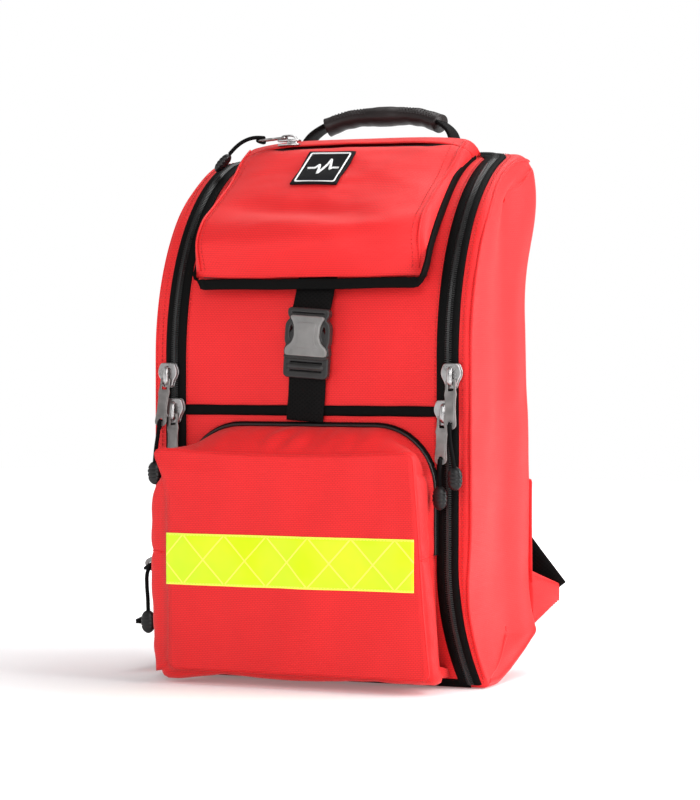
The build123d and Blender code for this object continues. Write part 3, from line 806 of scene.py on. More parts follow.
def zip_coil(name, line, wide, high, step):
    """A small zip's closed coil: a tube along a line with every other ring moved by step."""
    obj = tube(name, resample(line, 1.0), lambda u: (wide, high), COIL, 6)
    for vertex in obj.data.vertices:
        vertex.co += Vector(step) * MM * (vertex.index // 6 % 2)
    return obj


def tape_strip(name, profile, body, node):
    """A strip beside the zip: profile lists how far each edge grows sideways and is raised."""
    lines = [zip_line(grow, gap) for grow, gap in profile]
    obj = box_uv(clean(grid_object(name, list(zip(*lines)), BLACK_TAPE, closed_columns=True), 0.001))
    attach(obj, body)
    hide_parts(node)


# ---------------------------------------------------------------- rear compartment
EDGE_RADIUS = 6
BACK_ROUND = 16
FOOT_ROUND = 12
SILL_Z = 3.5
FRONT_ROWS = 120
FLAT_COLUMNS = 10
RIM_COLUMNS = 6
WELT_COLUMN = FLAT_COLUMNS + RIM_COLUMNS + 3
SIDE_X = 156
SIDE_CENTRE_Y = 14.0
SIDE_LOW_Z = 80
SIDE_HIGH_Z = 430
FOOT_EDGE_TOP = 200
REAR_LIFT = 41


def pack_outline():
    """The compartment's side outline as a closed loop that starts with the front line's points."""
    loop = [on_front(0, t)[1:] for t in np.linspace(0, t_at_depth(BACK_Y - BACK_ROUND), FRONT_ROWS)]
    top = loop[-1][1]
    for a in np.linspace(math.pi / 2, 0, 8)[1:]:
        loop.append((BACK_Y - BACK_ROUND + BACK_ROUND * math.cos(a), top - BACK_ROUND + BACK_ROUND * math.sin(a)))
    wall = [z for _, z in loop[FRONT_ROWS - 1::-1] if FOOT_ROUND + 1 < z < top - BACK_ROUND - 1]
    loop += [(BACK_Y, z) for z in wall + [FOOT_ROUND]]
    for a in np.linspace(0, -math.pi / 2, 6)[1:]:
        loop.append((BACK_Y - FOOT_ROUND + FOOT_ROUND * math.cos(a), FOOT_ROUND + FOOT_ROUND * math.sin(a)))
    loop += [(y, 0.0) for y in np.linspace(BACK_Y - FOOT_ROUND, LINE[0][0], 26)[1:-1]]
    return np.array(loop)


def lifted(p):
    """Raises the rear corners of the floor."""
    x, y, z = p
    fade = max(0.0, 1 - z / 120)
    back = min(1.0, max(0.0, (y + 30) / (BACK_Y + 30)))
    out = min(1.0, max(0.0, (abs(x) - 105) / 69))
    return (x, y, z + REAR_LIFT * fade * back ** 1.2 * out ** 1.1)


def side_swell(y, z):
    """How far the compartment's side stands out at its upper rear and along its front edge."""
    swell = 13 * math.exp(-((z - 470) / 62) ** 2) * smooth_step(-20, 80, y)
    return swell + 5 * smooth_step(60, 160, z) * smooth_step(30, -50, y)


def shell_rows():
    """The compartment's right half: a row from the middle line to the side's centre for each outline point."""
    loop = pack_outline()
    along = lengths_along(loop)
    outward = outward_directions(loop)
    zip_edge = TAPE_WIDTH - 2.6
    t_rear = t_at_depth(ZIP_REAR + zip_edge)
    foot_edge = zip_half(t_at_height(SILL_Z), zip_edge)
    rows, open_rows = [], []
    for i, (y, z) in enumerate(loop):
        swell = side_swell(y, z)
        half = BODY_HALF + flare(z, BODY_FLARE) + swell
        t = along[i]
        is_open = i < FRONT_ROWS and SILL_Z < z and t < t_rear
        open_rows.append(is_open)
        if is_open:
            edge = zip_half(t, zip_edge)
        else:
            edge = foot_edge if z < FOOT_EDGE_TOP else ZIP_X - ZIP_CORNER
        row = [(edge * k / FLAT_COLUMNS, y, z) for k in range(FLAT_COLUMNS)]
        radius = EDGE_RADIUS + 14 * smooth_step(40, 90, y) * smooth_step(180, 400, z)
        row += [(edge + (half - radius - edge) * k / 5, y, z) for k in range(RIM_COLUMNS)]
        ny, nz = outward[i]
        for a in np.linspace(0, math.pi / 2, 7)[1:]:
            drop = radius * (1 - math.cos(a))
            row.append((half - radius + radius * math.sin(a), y - ny * drop, z - nz * drop))
        start = np.array([y - ny * radius, z - nz * radius])
        spread = max(z, SIDE_LOW_Z + 0.5 * (z - SIDE_LOW_Z))
        goal = np.array([SIDE_CENTRE_Y, min(spread, SIDE_HIGH_Z + 0.5 * (z - SIDE_HIGH_Z))])
        for share in np.linspace(0, 1, 18)[1:]:
            p = start + (goal - start) * share
            belly = 2.2 * math.sin(math.pi * share) ** 2 - 1.5 * math.sin(math.pi * share / 2) ** 2
            rest = BODY_HALF + flare(p[1], BODY_FLARE) + belly
            row.append((rest + swell * math.cos(math.pi * share / 2) ** 2, p[0], p[1]))
        rows.append([lifted(p) for p in row])
    return np.array(rows), open_rows


def side_mask(p):
    """The sides crease fully, the front and back a little."""
    return 1.0 if abs(p.x) > SIDE_X else 0.2


def build_shell():
    rows, open_rows = shell_rows()
    count, width = rows.shape[:2]
    faces = []
    for i in range(count):
        j = (i + 1) % count
        for k in range(width - 1):
            if not (k < FLAT_COLUMNS and open_rows[i] and open_rows[j]):
                faces.append((i * width + k, i * width + k + 1, j * width + k + 1, j * width + k))
    points = rows.reshape(-1, 3)
    faces += [tuple(len(points) + v for v in reversed(face)) for face in faces]
    skin = clean(mesh_object("pack_fabric", np.vstack([points, points * (-1, 1, 1)]), faces, RED), 0.05)
    wrinkle(skin, 2.6, 110, 3.1, side_mask)
    wrinkle(skin, 0.9, 38, 7.7, side_mask)
    finish_cloth(skin, 2.4, even=False)
    keep_above_floor(skin)
    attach(skin, "pack")
    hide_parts("rear_shell")
    for side, name in ((1, "right"), (-1, "left")):
        line = rows[2:FRONT_ROWS, WELT_COLUMN] * (side, 1, 1)
        normals = [Vector((side * 0.72, 0, 0)) + front_normal(p) * 0.7 for p in line]
        welt = tube("pack_welt_" + name, line + np.array([tuple(n * 0.6) for n in normals]), 1.5, RED)
        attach(welt, "pack")
        inner = resample([p for p in zip_line(TAPE_WIDTH + 2.6, 0.5) if p[0] * side > 0], 3)
        stitches("pack_edge_stitches_" + name, inner, front_normal, "pack")


build_shell()
tape_strip("zip_tape_pack", (
    (1.0, 0.2), (1.0, 1.5), (5, 2.0), (8.6, 1.7), (TAPE_WIDTH - 1, -0.4), (TAPE_WIDTH - 2.4, -1.2),
), "pack", "zip_tape_outer")
coil("zip_coil_pack", 1, "pack")


# ---------------------------------------------------------------- front panel
def build_panel():
    edge = -1.2
    rows = []
    for t in np.linspace(t_at_height(PANEL_LOW), t_at_depth(ZIP_REAR + edge) - 0.3, 150):
        half = zip_half(t, edge)
        rows.append([on_front(half * u, t) for u in np.linspace(-1, 1, 61)])
    skin = grid_object("panel_fabric", rows, RED)
    wrinkle(skin, 1.6, 70, 11.3, lambda p: 0.2 + 0.8 * (1 - abs(p.x) / 160))
    wrinkle(skin, 0.5, 24, 5.2, lambda p: 1 - abs(p.x) / 160)
    clean(skin)
    finish_cloth(skin, 2.4)
    keep_above_floor(skin)
    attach(skin, "front_panel")
    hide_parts("front_panel")
    stitches("panel_edge_stitches", zip_line(-TAPE_WIDTH - 2.2, 0.7, 160), front_normal, "front_panel")


build_panel()
tape_strip("zip_tape_panel", (
    (-1.0, 0.2), (-1.0, 1.3), (-6, 1.5), (-TAPE_WIDTH, 1.0), (-TAPE_WIDTH - 0.8, 0.1),
), "front_panel", "zip_tape_inner")
coil("zip_coil_panel", -1, "front_panel")


def build_panel_hinge():
    rows = [[on_front(x, t, 0.7) for x in np.linspace(-157, 157, 40)] for t in np.linspace(0.2, 9.5, 9)]
    hinge = grid_object("panel_hinge", rows, BINDING)
    finish_cloth(hinge, 1.0, 0)
    keep_above_floor(hinge)
    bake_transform(hinge)


def build_band():
    """The bound band across the panel's middle."""
    reach = ZIP_X - TAPE_WIDTH - 1
    profile = (
        (BAND_LOW, 0.4), (BAND_LOW, -1.5), (BAND_LOW + 3, -1.9), (BAND_HIGH - 3, -1.9), (BAND_HIGH, -1.5),
        (BAND_HIGH, 0.4),
    )
    rows = [[(x, FRONT_Y + gap, z) for x in np.linspace(-reach, reach, 60)] for z, gap in profile]
    band = grid_object("band_binding_cloth", rows, BINDING, closed_rows=True)
    wrinkle(band, 0.5, 30, 2.2)
    fill_ends(band)
    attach(band, "front_panel")
    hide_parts("band_binding")


build_panel_hinge()
build_band()


# ---------------------------------------------------------------- front pocket
POCKET_HALF = 133
POCKET_FACE_Y = node_box("pocket_base")[0].y
POCKET_SEAM_Y = POCKET_FACE_Y + 3.4
POCKET_REAR_LOW = 10
POCKET_REAR_TOP = 251
POCKET_REAR_Y = -96.4
POCKET_SPLIT_Z = 128
POCKET_CENTRE_Z = 120
FACE_LOW = 15
FACE_TOP = 228
FACE_CORNER = 8
LOWEST_CLOTH = 3.4


def face_y(x, z):
    """Depth of the pocket's soft front face: it swells a little and has shallow dents."""
    across = max(0.0, 1 - (x / POCKET_HALF) ** 2)
    up = max(0.0, 1 - ((z - 112) / 122) ** 2)
    swell = 3.0 * across ** 0.6 * up ** 0.6
    dents = 3.4 * noise.noise(Vector((x / 48, z / 95, 4.2))) + 0.9 * noise.noise(Vector((x / 26, z / 34, 9.1)))
    ridge = 1.6 * math.exp(-(((z - 196) + 0.10 * x) / 9) ** 2) * smooth_step(-30, -110, x)
    return POCKET_FACE_Y - swell - dents * min(1.0, across * 3, up * 3) - ridge


def pocket_flare(z):
    return flare(z, 7)


def face_left(z):
    """X of the pocket face's left seam at a height."""
    return float(np.interp(z, (15, 60, 180, 202, 228), (-127, -126.5, -128, -134, -145)))


def face_right(z):
    """X of the pocket face's right seam at a height."""
    return float(np.interp(z, (15, 30, 80, 150, 228), (144, 142, 137, 132, 126)))


def pocket_outline(inset, top, corner):
    """The rear outline that the pocket's zip follows, from the bottom middle round by the right."""
    half, low, turn = POCKET_HALF + 0.5 - inset, POCKET_REAR_LOW, 9
    foot, head = half + pocket_flare(low + turn), half + pocket_flare(top)
    right = [(x, low) for x in np.linspace(0, foot - turn, 16)]
    right += [
        (foot - turn * (1 - math.sin(a)), low + turn - turn * math.cos(a)) for a in np.linspace(0.2, math.pi / 2, 6)
    ]
    right += [(half + pocket_flare(z), z) for z in np.linspace(low + 12, top - corner, 34)]
    right += [
        (head - corner * (1 - math.cos(a)), top - corner * (1 - math.sin(a)))
        for a in np.linspace(0, math.pi / 2, 12)[1:]
    ]
    right += [(x, top) for x in np.linspace(head - corner, 0, 18)[1:]]
    return right + [(-x, z) for x, z in right[-2:0:-1]]


def gusset_bag(x, z, share):
    """How far the soft gusset bags out behind the face's seam at (x, z)."""
    if x < 0:
        puff = math.sin(math.pi * min(1.0, share / 0.62) ** 0.6)
        bag = 24 * puff * smooth_step(215, 170, z) * smooth_step(-60, -115, x)
    else:
        puff = math.sin(math.pi * min(1.0, share / 0.6) ** 0.8)
        bag = (4 + 5 * smooth_step(150, 60, z)) * puff * smooth_step(60, 115, x)
    if z > 205:
        middle = math.sin(math.pi * share)
        bag += 5.5 * middle * smooth_step(118, 70, abs(x)) - 2.0 * middle * smooth_step(70, 118, abs(x))
    return bag


def gusset_point(front, rear, share):
    """A point of the gusset between the face's seam and the zip."""
    (xa, za), (xb, zb) = front, rear
    x, z = xa + (xb - xa) * share, za + (zb - za) * share
    y = POCKET_SEAM_Y + (POCKET_REAR_Y - POCKET_SEAM_Y) * share
    outward = Vector((xa, za - POCKET_CENTRE_Z)).normalized()
    side = abs(outward.x) ** 2
    pucker = noise.noise(Vector((xa / 15, share * 1.4, za / 15 + 3)))
    pucker *= (4.0 - 2.6 * side) * math.sin(math.pi * share ** 0.7)
    seam_dip = -2.0 * math.exp(-((z - 127) / 3.2) ** 2) * side * (1 - share * 0.5)
    push = pucker + seam_dip + gusset_bag(xa, za, share)
    if za < 24:
        _, wall_y, _ = on_front(0, t_at_height(max(z, 1.0)))
        y = POCKET_SEAM_Y + (wall_y - 1.5 - POCKET_SEAM_Y) * share
        push = push * side + 7.5 * math.sin(math.pi * min(1.0, share / 0.62) ** 0.6) * (1 - side)
    return (x + outward.x * push, y, max(z + outward.y * push, LOWEST_CLOTH))


def pocket_face():
    """Grid over the pocket's soft face, with rounded corners and a top edge that sags."""
    rows = []
    for v in np.linspace(0, 1, 70):
        z = FACE_LOW + (FACE_TOP - FACE_LOW) * (0.7 * v + 0.3 * (0.5 - 0.5 * math.cos(math.pi * v)))
        reach = max(0.0, FACE_CORNER - min(z - FACE_LOW, FACE_TOP - z))
        cut = FACE_CORNER - math.sqrt(FACE_CORNER ** 2 - reach ** 2)
        row = []
        for x in np.linspace(face_left(z) + cut, face_right(z) - cut, 61):
            height = z - 4.5 * smooth_step(FACE_TOP - 60, FACE_TOP, z) * max(0.0, 1 - (x / 128) ** 2)
            row.append((x, face_y(x, height), height))
        rows.append(row)
    return np.array(rows)


def pick(line, count):
    """A number of points from a line, spaced evenly."""
    line = resample(line, 1.0)
    return line[np.linspace(0, len(line) - 1, count).astype(int)]


def pocket_rear(across, up):
    """The rear outline, with as many points on each side as the face's grid has."""
    half, low, top, corner = POCKET_HALF - 1, POCKET_REAR_LOW, POCKET_REAR_TOP, 60
    right = [(half + pocket_flare(z), 0, z) for z in np.linspace(low, top - corner, 30)]
    arc = [
        (half - corner + corner * math.cos(a), 0, top - corner + corner * math.sin(a))
        for a in np.linspace(0, math.pi / 2, 31)
    ]
    foot = half + pocket_flare(low)
    bottom = resample([(-foot, 0, low), (foot, 0, low)], 2 * foot / (across - 1))
    side = pick(right + arc[1:16], up)
    crown = pick(arc[15:] + [(-x, y, z) for x, y, z in arc[:14:-1]], across)
    left = side[::-1] * (-1, 1, 1)
    return np.concatenate((bottom[:-1], side[:-1], crown[:-1], left[:-1]))[:, (0, 2)]


def build_pocket():
    grid = pocket_face()
    up, across = grid.shape[:2]
    edge = np.concatenate((grid[0, :-1], grid[:-1, -1], grid[-1, :0:-1], grid[:0:-1, 0]))
    rear = pocket_rear(across, up)
    face = edge[:, (0, 2)]

    def scaled(size, depth):
        return [(x * size, POCKET_FACE_Y + depth, POCKET_CENTRE_Z + (z - POCKET_CENTRE_Z) * size) for x, z in face]

    welt_line = scaled(1.004, 1.4)
    rings = [edge, welt_line, scaled(0.976, 3.0)]
    for share in np.linspace(0, 1, 26)[1:]:
        rings.append([gusset_point(a, b, share) for a, b in zip(face, rear)])
    rings = np.array(rings)
    count, width = rings.shape[:2]
    faces = ring_faces(0, count, width)
    first = count * width
    for start in range(first, first + (up - 1) * across, across):
        faces += [(start + j, start + across + j, start + across + j + 1, start + j + 1) for j in range(across - 1)]
    skin = mesh_object("pocket_fabric", np.vstack((rings.reshape(-1, 3), grid.reshape(-1, 3))), faces, RED)
    clean(skin, 0.05)
    finish_cloth(skin, 2.0, 0, even=False)
    welt = tube("pocket_welt", resample(welt_line + welt_line[:1], 4)[:-1], 1.1, RED, closed=True)
    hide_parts("pocket_base", "pocket_cover")
    for piece in (skin, welt):
        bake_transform(piece)
    for sign, name in ((-1, "left"), (1, "right")):
        side = [i for i, p in enumerate(face) if p[0] * sign > 60]
        i = min(side, key=lambda i: abs(face[i][1] - 127))
        seam_line = [Vector(gusset_point(face[i], rear[i], share)) for share in np.linspace(0.03, 0.95, 18)]
        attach(tube("pocket_gusset_seam_" + name, seam_line, 1.0, RED), "front_panel")


def pocket_zip_line(inset, y):
    outline = pocket_outline(inset, POCKET_REAR_TOP - inset + 1.5, 62 - inset)
    return [(x, y, z) for x, z in outline if z > POCKET_SPLIT_Z]


def build_pocket_zip():
    sewn = [(x, -96.9, z) for x, z in pocket_outline(-4.5, POCKET_REAR_TOP + 4.5, 66) if z > 245]
    stitches("pocket_zip_stitches", sewn, (0, -1, 0), "front_panel")
    profile = ((-2.5, -95.6), (-1.5, -97.6), (2, -98.4), (8, -97.8), (8.5, -96.0))
    rows = list(zip(*[pocket_zip_line(inset, y) for inset, y in profile]))
    strip = box_uv(clean(grid_object("pocket_zip_cloth", rows, BLACK_TAPE, closed_columns=True), 0.001))
    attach(strip, "front_panel")
    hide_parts("pocket_zip_tape")
    teeth = zip_coil("pocket_zip_coil", pocket_zip_line(0.6, -98.9), 1.3, 1.5, (0, -0.5, 0))
    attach(teeth, "front_panel")


def build_reflective_tape():
    """The tape follows the pocket's soft face."""
    reach = POCKET_HALF - 3.5
    tape = grid_object("reflective_film", [
        [(x, face_y(x, z) - 0.7, z) for x in np.linspace(-reach, reach, 90)]
        for z in np.linspace(TAPE_LOW, TAPE_HIGH, 16)
    ], TAPE)
    finish_cloth(tape, 0.8, 0)
    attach(tape, "front_panel")
    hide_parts("reflective_tape")
    reach = POCKET_HALF - 5
    for name, z in (("low", TAPE_LOW + 1.6), ("high", TAPE_HIGH - 1.6)):
        line = [(x, face_y(x, z) - 0.85, z) for x in np.linspace(-reach, reach, 60)]
        stitches("tape_stitches_" + name, line, (0, -1, 0), "front_panel", 3.4, 2.4, 0.45, 0.0, TAPE_THREAD)


build_pocket()
build_pocket_zip()
build_reflective_tape()


# ---------------------------------------------------------------- lid
LID_ROWS = 60
LID_SLIT = (-82, 104)
LID_SLIT_ROW = 6
LID_SLIT_Y = 14.0
LID_SLIT_Z = 527.2
SEAM_X = 113
LID_X = 120.5


def lid_profile(*points):
    """A line of the lid in the YZ plane, from its rear edge over the nose to the hem."""
    return spline([(0, y, z) for y, z in points], LID_ROWS)[:, 1:]


LID_CENTRE = lid_profile(
    (36, 540), (13, 533.5), (-36, 500), (-81, 464), (-110, 442), (-118, 426), (-110, 409), (-100, 394.5)
)
LID_SEAM = lid_profile((30, 536), (6, 522), (-15, 502), (-64, 468), (-86, 450), (-93, 431), (-90, 413), (-96, 396))
LID_BASE = lid_profile((55, 519), (20, 508), (0, 500), (-36, 473), (-62, 448), (-84, 420), (-92, 404), (-97, 394))
LID_SEAM_LEFT = lid_profile(
    (30, 533), (8, 520), (-18, 501), (-72, 467), (-101, 447), (-111, 428), (-106, 410), (-99, 396)
)
LID_SIDES = ((-1, "left", LID_SEAM_LEFT), (1, "right", LID_SEAM))


def lid_surface(x, i):
    """The lid's upper skin at x in row i."""
    share = min(1.0, abs(x) / SEAM_X) ** 4.5
    y, z = LID_CENTRE[i] * (1 - share) + (LID_SEAM_LEFT if x < 0 else LID_SEAM)[i] * share
    down = i / (LID_ROWS - 1)
    fold = -4.6 * math.exp(-((down - 0.64 - 0.0005 * x) / 0.06) ** 2) * smooth_step(104, 30, abs(x + 10))
    dent = -9.5 * math.exp(-((x - 70) / 26) ** 2 - ((down - 0.86) / 0.075) ** 2)
    dent += -8.5 * math.exp(-((x + 82) / 22) ** 2 - ((down - 0.90) / 0.06) ** 2)
    rise = 5.0 * math.exp(-((x + 4) / 60) ** 2 - ((down - 0.78) / 0.09) ** 2)
    soft = 2.0 * noise.noise(Vector((x / 55, down * 7, 2.4))) + 0.7 * noise.noise(Vector((x / 22, down * 18, 8.4)))
    push = (fold + dent + rise + soft * (1 - share)) * smooth_step(0.0, 0.12, down)
    return np.array((x, y - push * 0.75, z + push * 0.66))


def lid_widening(i):
    """How much wider the lid is on each side near its rear edge."""
    return 4.5 * smooth_step(24, 8, i)


def lid_rows():
    """The lid's skin from its left base over the top to its right base, one row after another."""
    rows = []
    for i in range(LID_ROWS):
        wide = lid_widening(i)
        left, right = (
            [
                (side * LID_X, *LID_BASE[i]),
                (side * (LID_X + 0.4 + wide * 0.8), *(LID_BASE[i] * 0.6 + seam[i] * 0.4)),
                (side * (LID_X - 1.6 + wide), *(LID_BASE[i] * 0.22 + seam[i] * 0.78)),
            ]
            for side, _, seam in LID_SIDES
        )
        middle = [
            tuple(lid_surface(x, i) + (wide * x / SEAM_X, 0, 0)) for x in np.linspace(-SEAM_X, SEAM_X, 61)
        ]
        rows.append(left + middle + right[::-1])
    return rows


def sink_at_slit(skin, width):
    """Lowers the skin's first rows, where it meets the zip's slit."""
    low, high = LID_SLIT
    for vertex in skin.data.vertices:
        row = vertex.index // width
        x = vertex.co.x / MM
        if row < 5:
            inside = smooth_step(low - 14, low + 10, x) * smooth_step(high + 8, high - 22, x)
            vertex.co += Vector((0, -3.4, -4.6)) * MM * inside * (1 - row / 5)


def build_lid():
    rows = lid_rows()
    front = grid_object("lid_fabric", rows[LID_SLIT_ROW:], RED)
    sink_at_slit(front, len(rows[0]))
    edge = [(x, 58, 520.5 - 3 * (abs(x) / LID_X) ** 6) for x in np.array(rows[0])[:, 0]]
    rear = grid_object("lid_rear_fabric", [edge] + rows[:LID_SLIT_ROW + 1], RED)
    for skin in (front, rear):
        clean(skin)
        finish_cloth(skin, 2.2, even=False)
    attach(front, "lid")
    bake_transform(rear)
    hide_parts("lid_shell")
    under = grid_object("lid_lining", [
        [on_front(x, t, 3.6) for x in np.linspace(-118.5, 118.5, 30)]
        for t in np.linspace(t_at_height(395), t_at_depth(46), 50)
    ], LINING)
    finish_cloth(under, 1.0, 0)
    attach(under, "lid")
    for side, name, seam in LID_SIDES:
        line = [
            (side * (SEAM_X + 0.4 + lid_widening(i)), *(seam[i] + np.array((-0.3, 0.4))))
            for i in range(2, LID_ROWS - 2)
        ]
        welt = tube("lid_welt_" + name, line, 1.2, RED, 8)
        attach(welt, "lid")
        sewn = [tuple(lid_surface(side * (SEAM_X - 5), i) + (0, -0.5, 0.6)) for i in range(4, LID_ROWS - 2)]
        stitches("lid_stitches_" + name, sewn, lambda p: Vector((0, -0.7, 0.7)), "lid")
    strip = grid_object("lid_hinge_strip", [
        [on_front(x, t_at_depth(y), gap) for x in np.linspace(-114, 114, 30)]
        for y, gap in ((60, 0.4), (54, 1.2), (48, 2.2), (42, 2.6))
    ], RED)
    finish_cloth(strip, 1.0, 1)
    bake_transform(strip)


def binding_path():
    """Edge line of the lid's black binding: up the left side, round the hem and up the right side."""
    side = [(-LID_X - 0.9, *LID_BASE[i]) for i in range(4, LID_ROWS - 5)]
    corner = [
        (-LID_X + 12 - 12.9 * math.cos(a), -98.0 - 1.6 * math.sin(a), 400 - 11 * math.sin(a))
        for a in np.linspace(0.3, math.pi / 2, 8)
    ]
    hem = [
        (x, -100.0 - 0.5 * noise.noise(Vector((x / 40, 1, 1))), 389 + 0.7 * noise.noise(Vector((x / 60, 2, 7))))
        for x in np.linspace(-LID_X + 14, 0, 24)
    ]
    left = side + corner + hem
    return resample(left + [(-x, y, z) for x, y, z in left[-2::-1]], 3.5)


def build_binding():
    rows = []
    for p, along, _, _ in frames_along(binding_path()):
        x_share = smooth_step(LID_X - 12, LID_X - 1, abs(p.x))
        out = Vector((math.copysign(x_share, p.x), -(1 - x_share) - 0.001, 0)).normalized()
        wide = along.cross(out).normalized()
        rows.append([
            p + wide * across + out * rise
            for across, rise in ((5.2, -1.0), (5.2, 0.9), (3.2, 1.5), (-3.2, 1.5), (-5.2, 0.9), (-5.2, -1.0))
        ])
    binding = fill_ends(grid_object("lid_binding_cloth", rows, BINDING, closed_columns=True))
    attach(binding, "lid")
    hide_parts("lid_binding")


def build_lid_zip():
    """The lid pocket's zip, sunk into its slit."""
    low, high = LID_SLIT
    for name, shift in (("front", -2.6), ("rear", 2.6)):
        y, z = LID_SLIT_Y + shift, LID_SLIT_Z + shift * 0.35
        line = [(x, y, z) for x in np.linspace(low - 6, high + 4, 40)]
        strip = ribbon("lid_zip_cloth_" + name, line, 6.5, 1.0, (0, 1, 0.35), BLACK_TAPE)
        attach(strip, "lid")
        if shift > 0:
            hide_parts("lid_zip_tape")
    line = [(x, LID_SLIT_Y, LID_SLIT_Z + 1) for x in (low - 4, high + 2)]
    teeth = zip_coil("lid_zip_coil", line, 1.5, 1.0, (0, 0, 0.5))
    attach(teeth, "lid")


build_lid()
build_binding()
build_lid_zip()


# ---------------------------------------------------------------- badge
BADGE_X = -12.5
BADGE_ROW = 19.5
BADGE_TURN = math.radians(-3)
ROW_LENGTH = float(np.linalg.norm(LID_CENTRE[20] - LID_CENTRE[19]))


def on_badge(x, y, lift):
    """A point of the badge's own plane, laid on the lid's upper skin and raised by lift."""
    across = BADGE_X + x * math.cos(BADGE_TURN) - y * math.sin(BADGE_TURN)
    place = BADGE_ROW - (y * math.cos(BADGE_TURN) + x * math.sin(BADGE_TURN)) / ROW_LENGTH
    row = int(place)
    a, b = lid_surface(across, row), lid_surface(across, row + 1)
    slope = (b - a) / np.linalg.norm(b - a)
    up = np.cross(slope, (1, 0, 0))
    return Vector(a + (b - a) * (place - row) + up / np.linalg.norm(up) * lift)


def build_badge():
    """Plain woven badge: black with a white border and a white pulse line."""
    rows = [[on_badge(x, y, 2.6) for x in np.linspace(25.5, -25.5, 24)] for y in np.linspace(28, -28, 26)]
    ground = grid_object("badge_ground", rows, BADGE)
    finish_cloth(ground, 1.6, 0)
    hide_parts("lid_patch")
    corners = box_loop(21.7, -24.2, 24.2, 1.5)
    border_line = resample([on_badge(x, y, 2.8) for x, y in corners + corners[:1]], 1.2)[:-1]
    border = tube("badge_border", border_line, 0.8, BADGE_MARK, 8, closed=True)
    pulse = ((-17, 0), (-9, 0), (-6, 6), (-1.5, -12), (4, 15), (8, -3), (10, 0), (17, 0))
    flat = resample([(x, y, 0) for x, y in pulse], 0.7)
    line = tube("badge_line", [on_badge(x, y, 2.7) for x, y, _ in flat], 1.3, BADGE_MARK, 8)
    for piece in (ground, border, line):
        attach(piece, "lid")


build_badge()


# ---------------------------------------------------------------- closing strap and buckle
LEAN = math.radians(4)
STRAP_ORIGIN = (1.5, -97, 318)
STRAP_X = (math.cos(LEAN), 0, -math.sin(LEAN))
STRAP_UP = (math.sin(LEAN), 0, math.cos(LEAN))
STRAP_PLANE = (STRAP_ORIGIN, STRAP_X, STRAP_UP)
STRAP_WIDTH = 39
STRAP_THICK = 1.6


def on_strap(x, y, lift=0.0):
    """A point of the buckle's own plane, raised by lift."""
    x0, y0, z0 = STRAP_ORIGIN
    return (x0 + x * STRAP_X[0] + y * STRAP_UP[0], y0 - lift, z0 + x * STRAP_X[2] + y * STRAP_UP[2])


def across_strap(reach, y, lift):
    return [on_strap(x, y, lift) for x in np.linspace(-reach, reach, 12)]


def mirrored_loop(right, radius):
    """Closed outline from its right half, listed from the top to the bottom."""
    return rounded_loop([(-x, y) for x, y in reversed(right)] + list(right), radius)


def build_buckle():
    rail = mirrored_loop((
        (20.5, 46), (20.5, 40.5), (17.5, 37), (22.3, 31), (22.4, 15), (20.6, 11), (22.4, 7), (22.4, 1.4),
    ), 2.6)
    windows = [circle_loop(side * 17.1, 23.5, 3.1, 8.2) for side in (-1, 1)]
    slot_hole = box_loop(18, 44.2, 41, 1.0)
    socket = plate("buckle_socket", [rail, *windows, slot_hole], STRAP_PLANE, 8.6, 1.5, PLASTIC, lift=1.4)
    cover_loop = mirrored_loop((
        (17, 38.4), (14.6, 35.5), (12.3, 30), (11.8, 19), (14.5, 12.5), (20.6, 7.5), (20.9, 2),
    ), 2.4)
    # The cover and its raised step use the black plastic painted grey as painted glare.
    cover = plate("buckle_cover", [cover_loop], STRAP_PLANE, 3.6, 1.5, GLARE_PAINTED_PLASTIC, lift=8.6)
    press_loop = mirrored_loop(((10, 33), (8.6, 27), (8.6, 14), (12, 9)), 2)
    press = plate("buckle_cover_step", [press_loop], STRAP_PLANE, 1.0, 0.4, GLARE_PAINTED_PLASTIC, lift=11.7)
    bar = tube("buckle_bar", across_strap(20, 39.6, 5.5), 2.2, PLASTIC, 12)
    for piece in (socket, cover, press, bar):
        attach(piece, "lid")
    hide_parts("buckle_female")
    base = box_loop(22, -19, 0, (3.6, 3.6, 2, 2))
    holes = [box_loop(18.4, -15.6, -11.6, 1.2), box_loop(18.4, -7.4, -3.4, 1.2)]
    male = plate("buckle_tongue_frame", [base, *holes], STRAP_PLANE, 7.6, 1.7, PLASTIC, lift=1.6)
    lip = plate("buckle_tongue_lip", [box_loop(22, -1.2, 1.0, 1)], STRAP_PLANE, 10.4, 0.8, PLASTIC, lift=1.2)
    guide_loop = rounded_loop(((-4.4, 0), (4.4, 0), (3.6, 25), (-3.6, 25)), 2)
    guide = plate("buckle_tongue_guide", [guide_loop], STRAP_PLANE, 4.4, 0.8, PLASTIC, lift=4.4)
    lug = tube("buckle_tongue_bar", across_strap(19, -9.5, 8.8), lambda u: (2.6, 1.5), PLASTIC, 12, up=STRAP_UP)
    for piece in (male, lip, guide, lug):
        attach(piece, "front_panel")
    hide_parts("buckle_male")


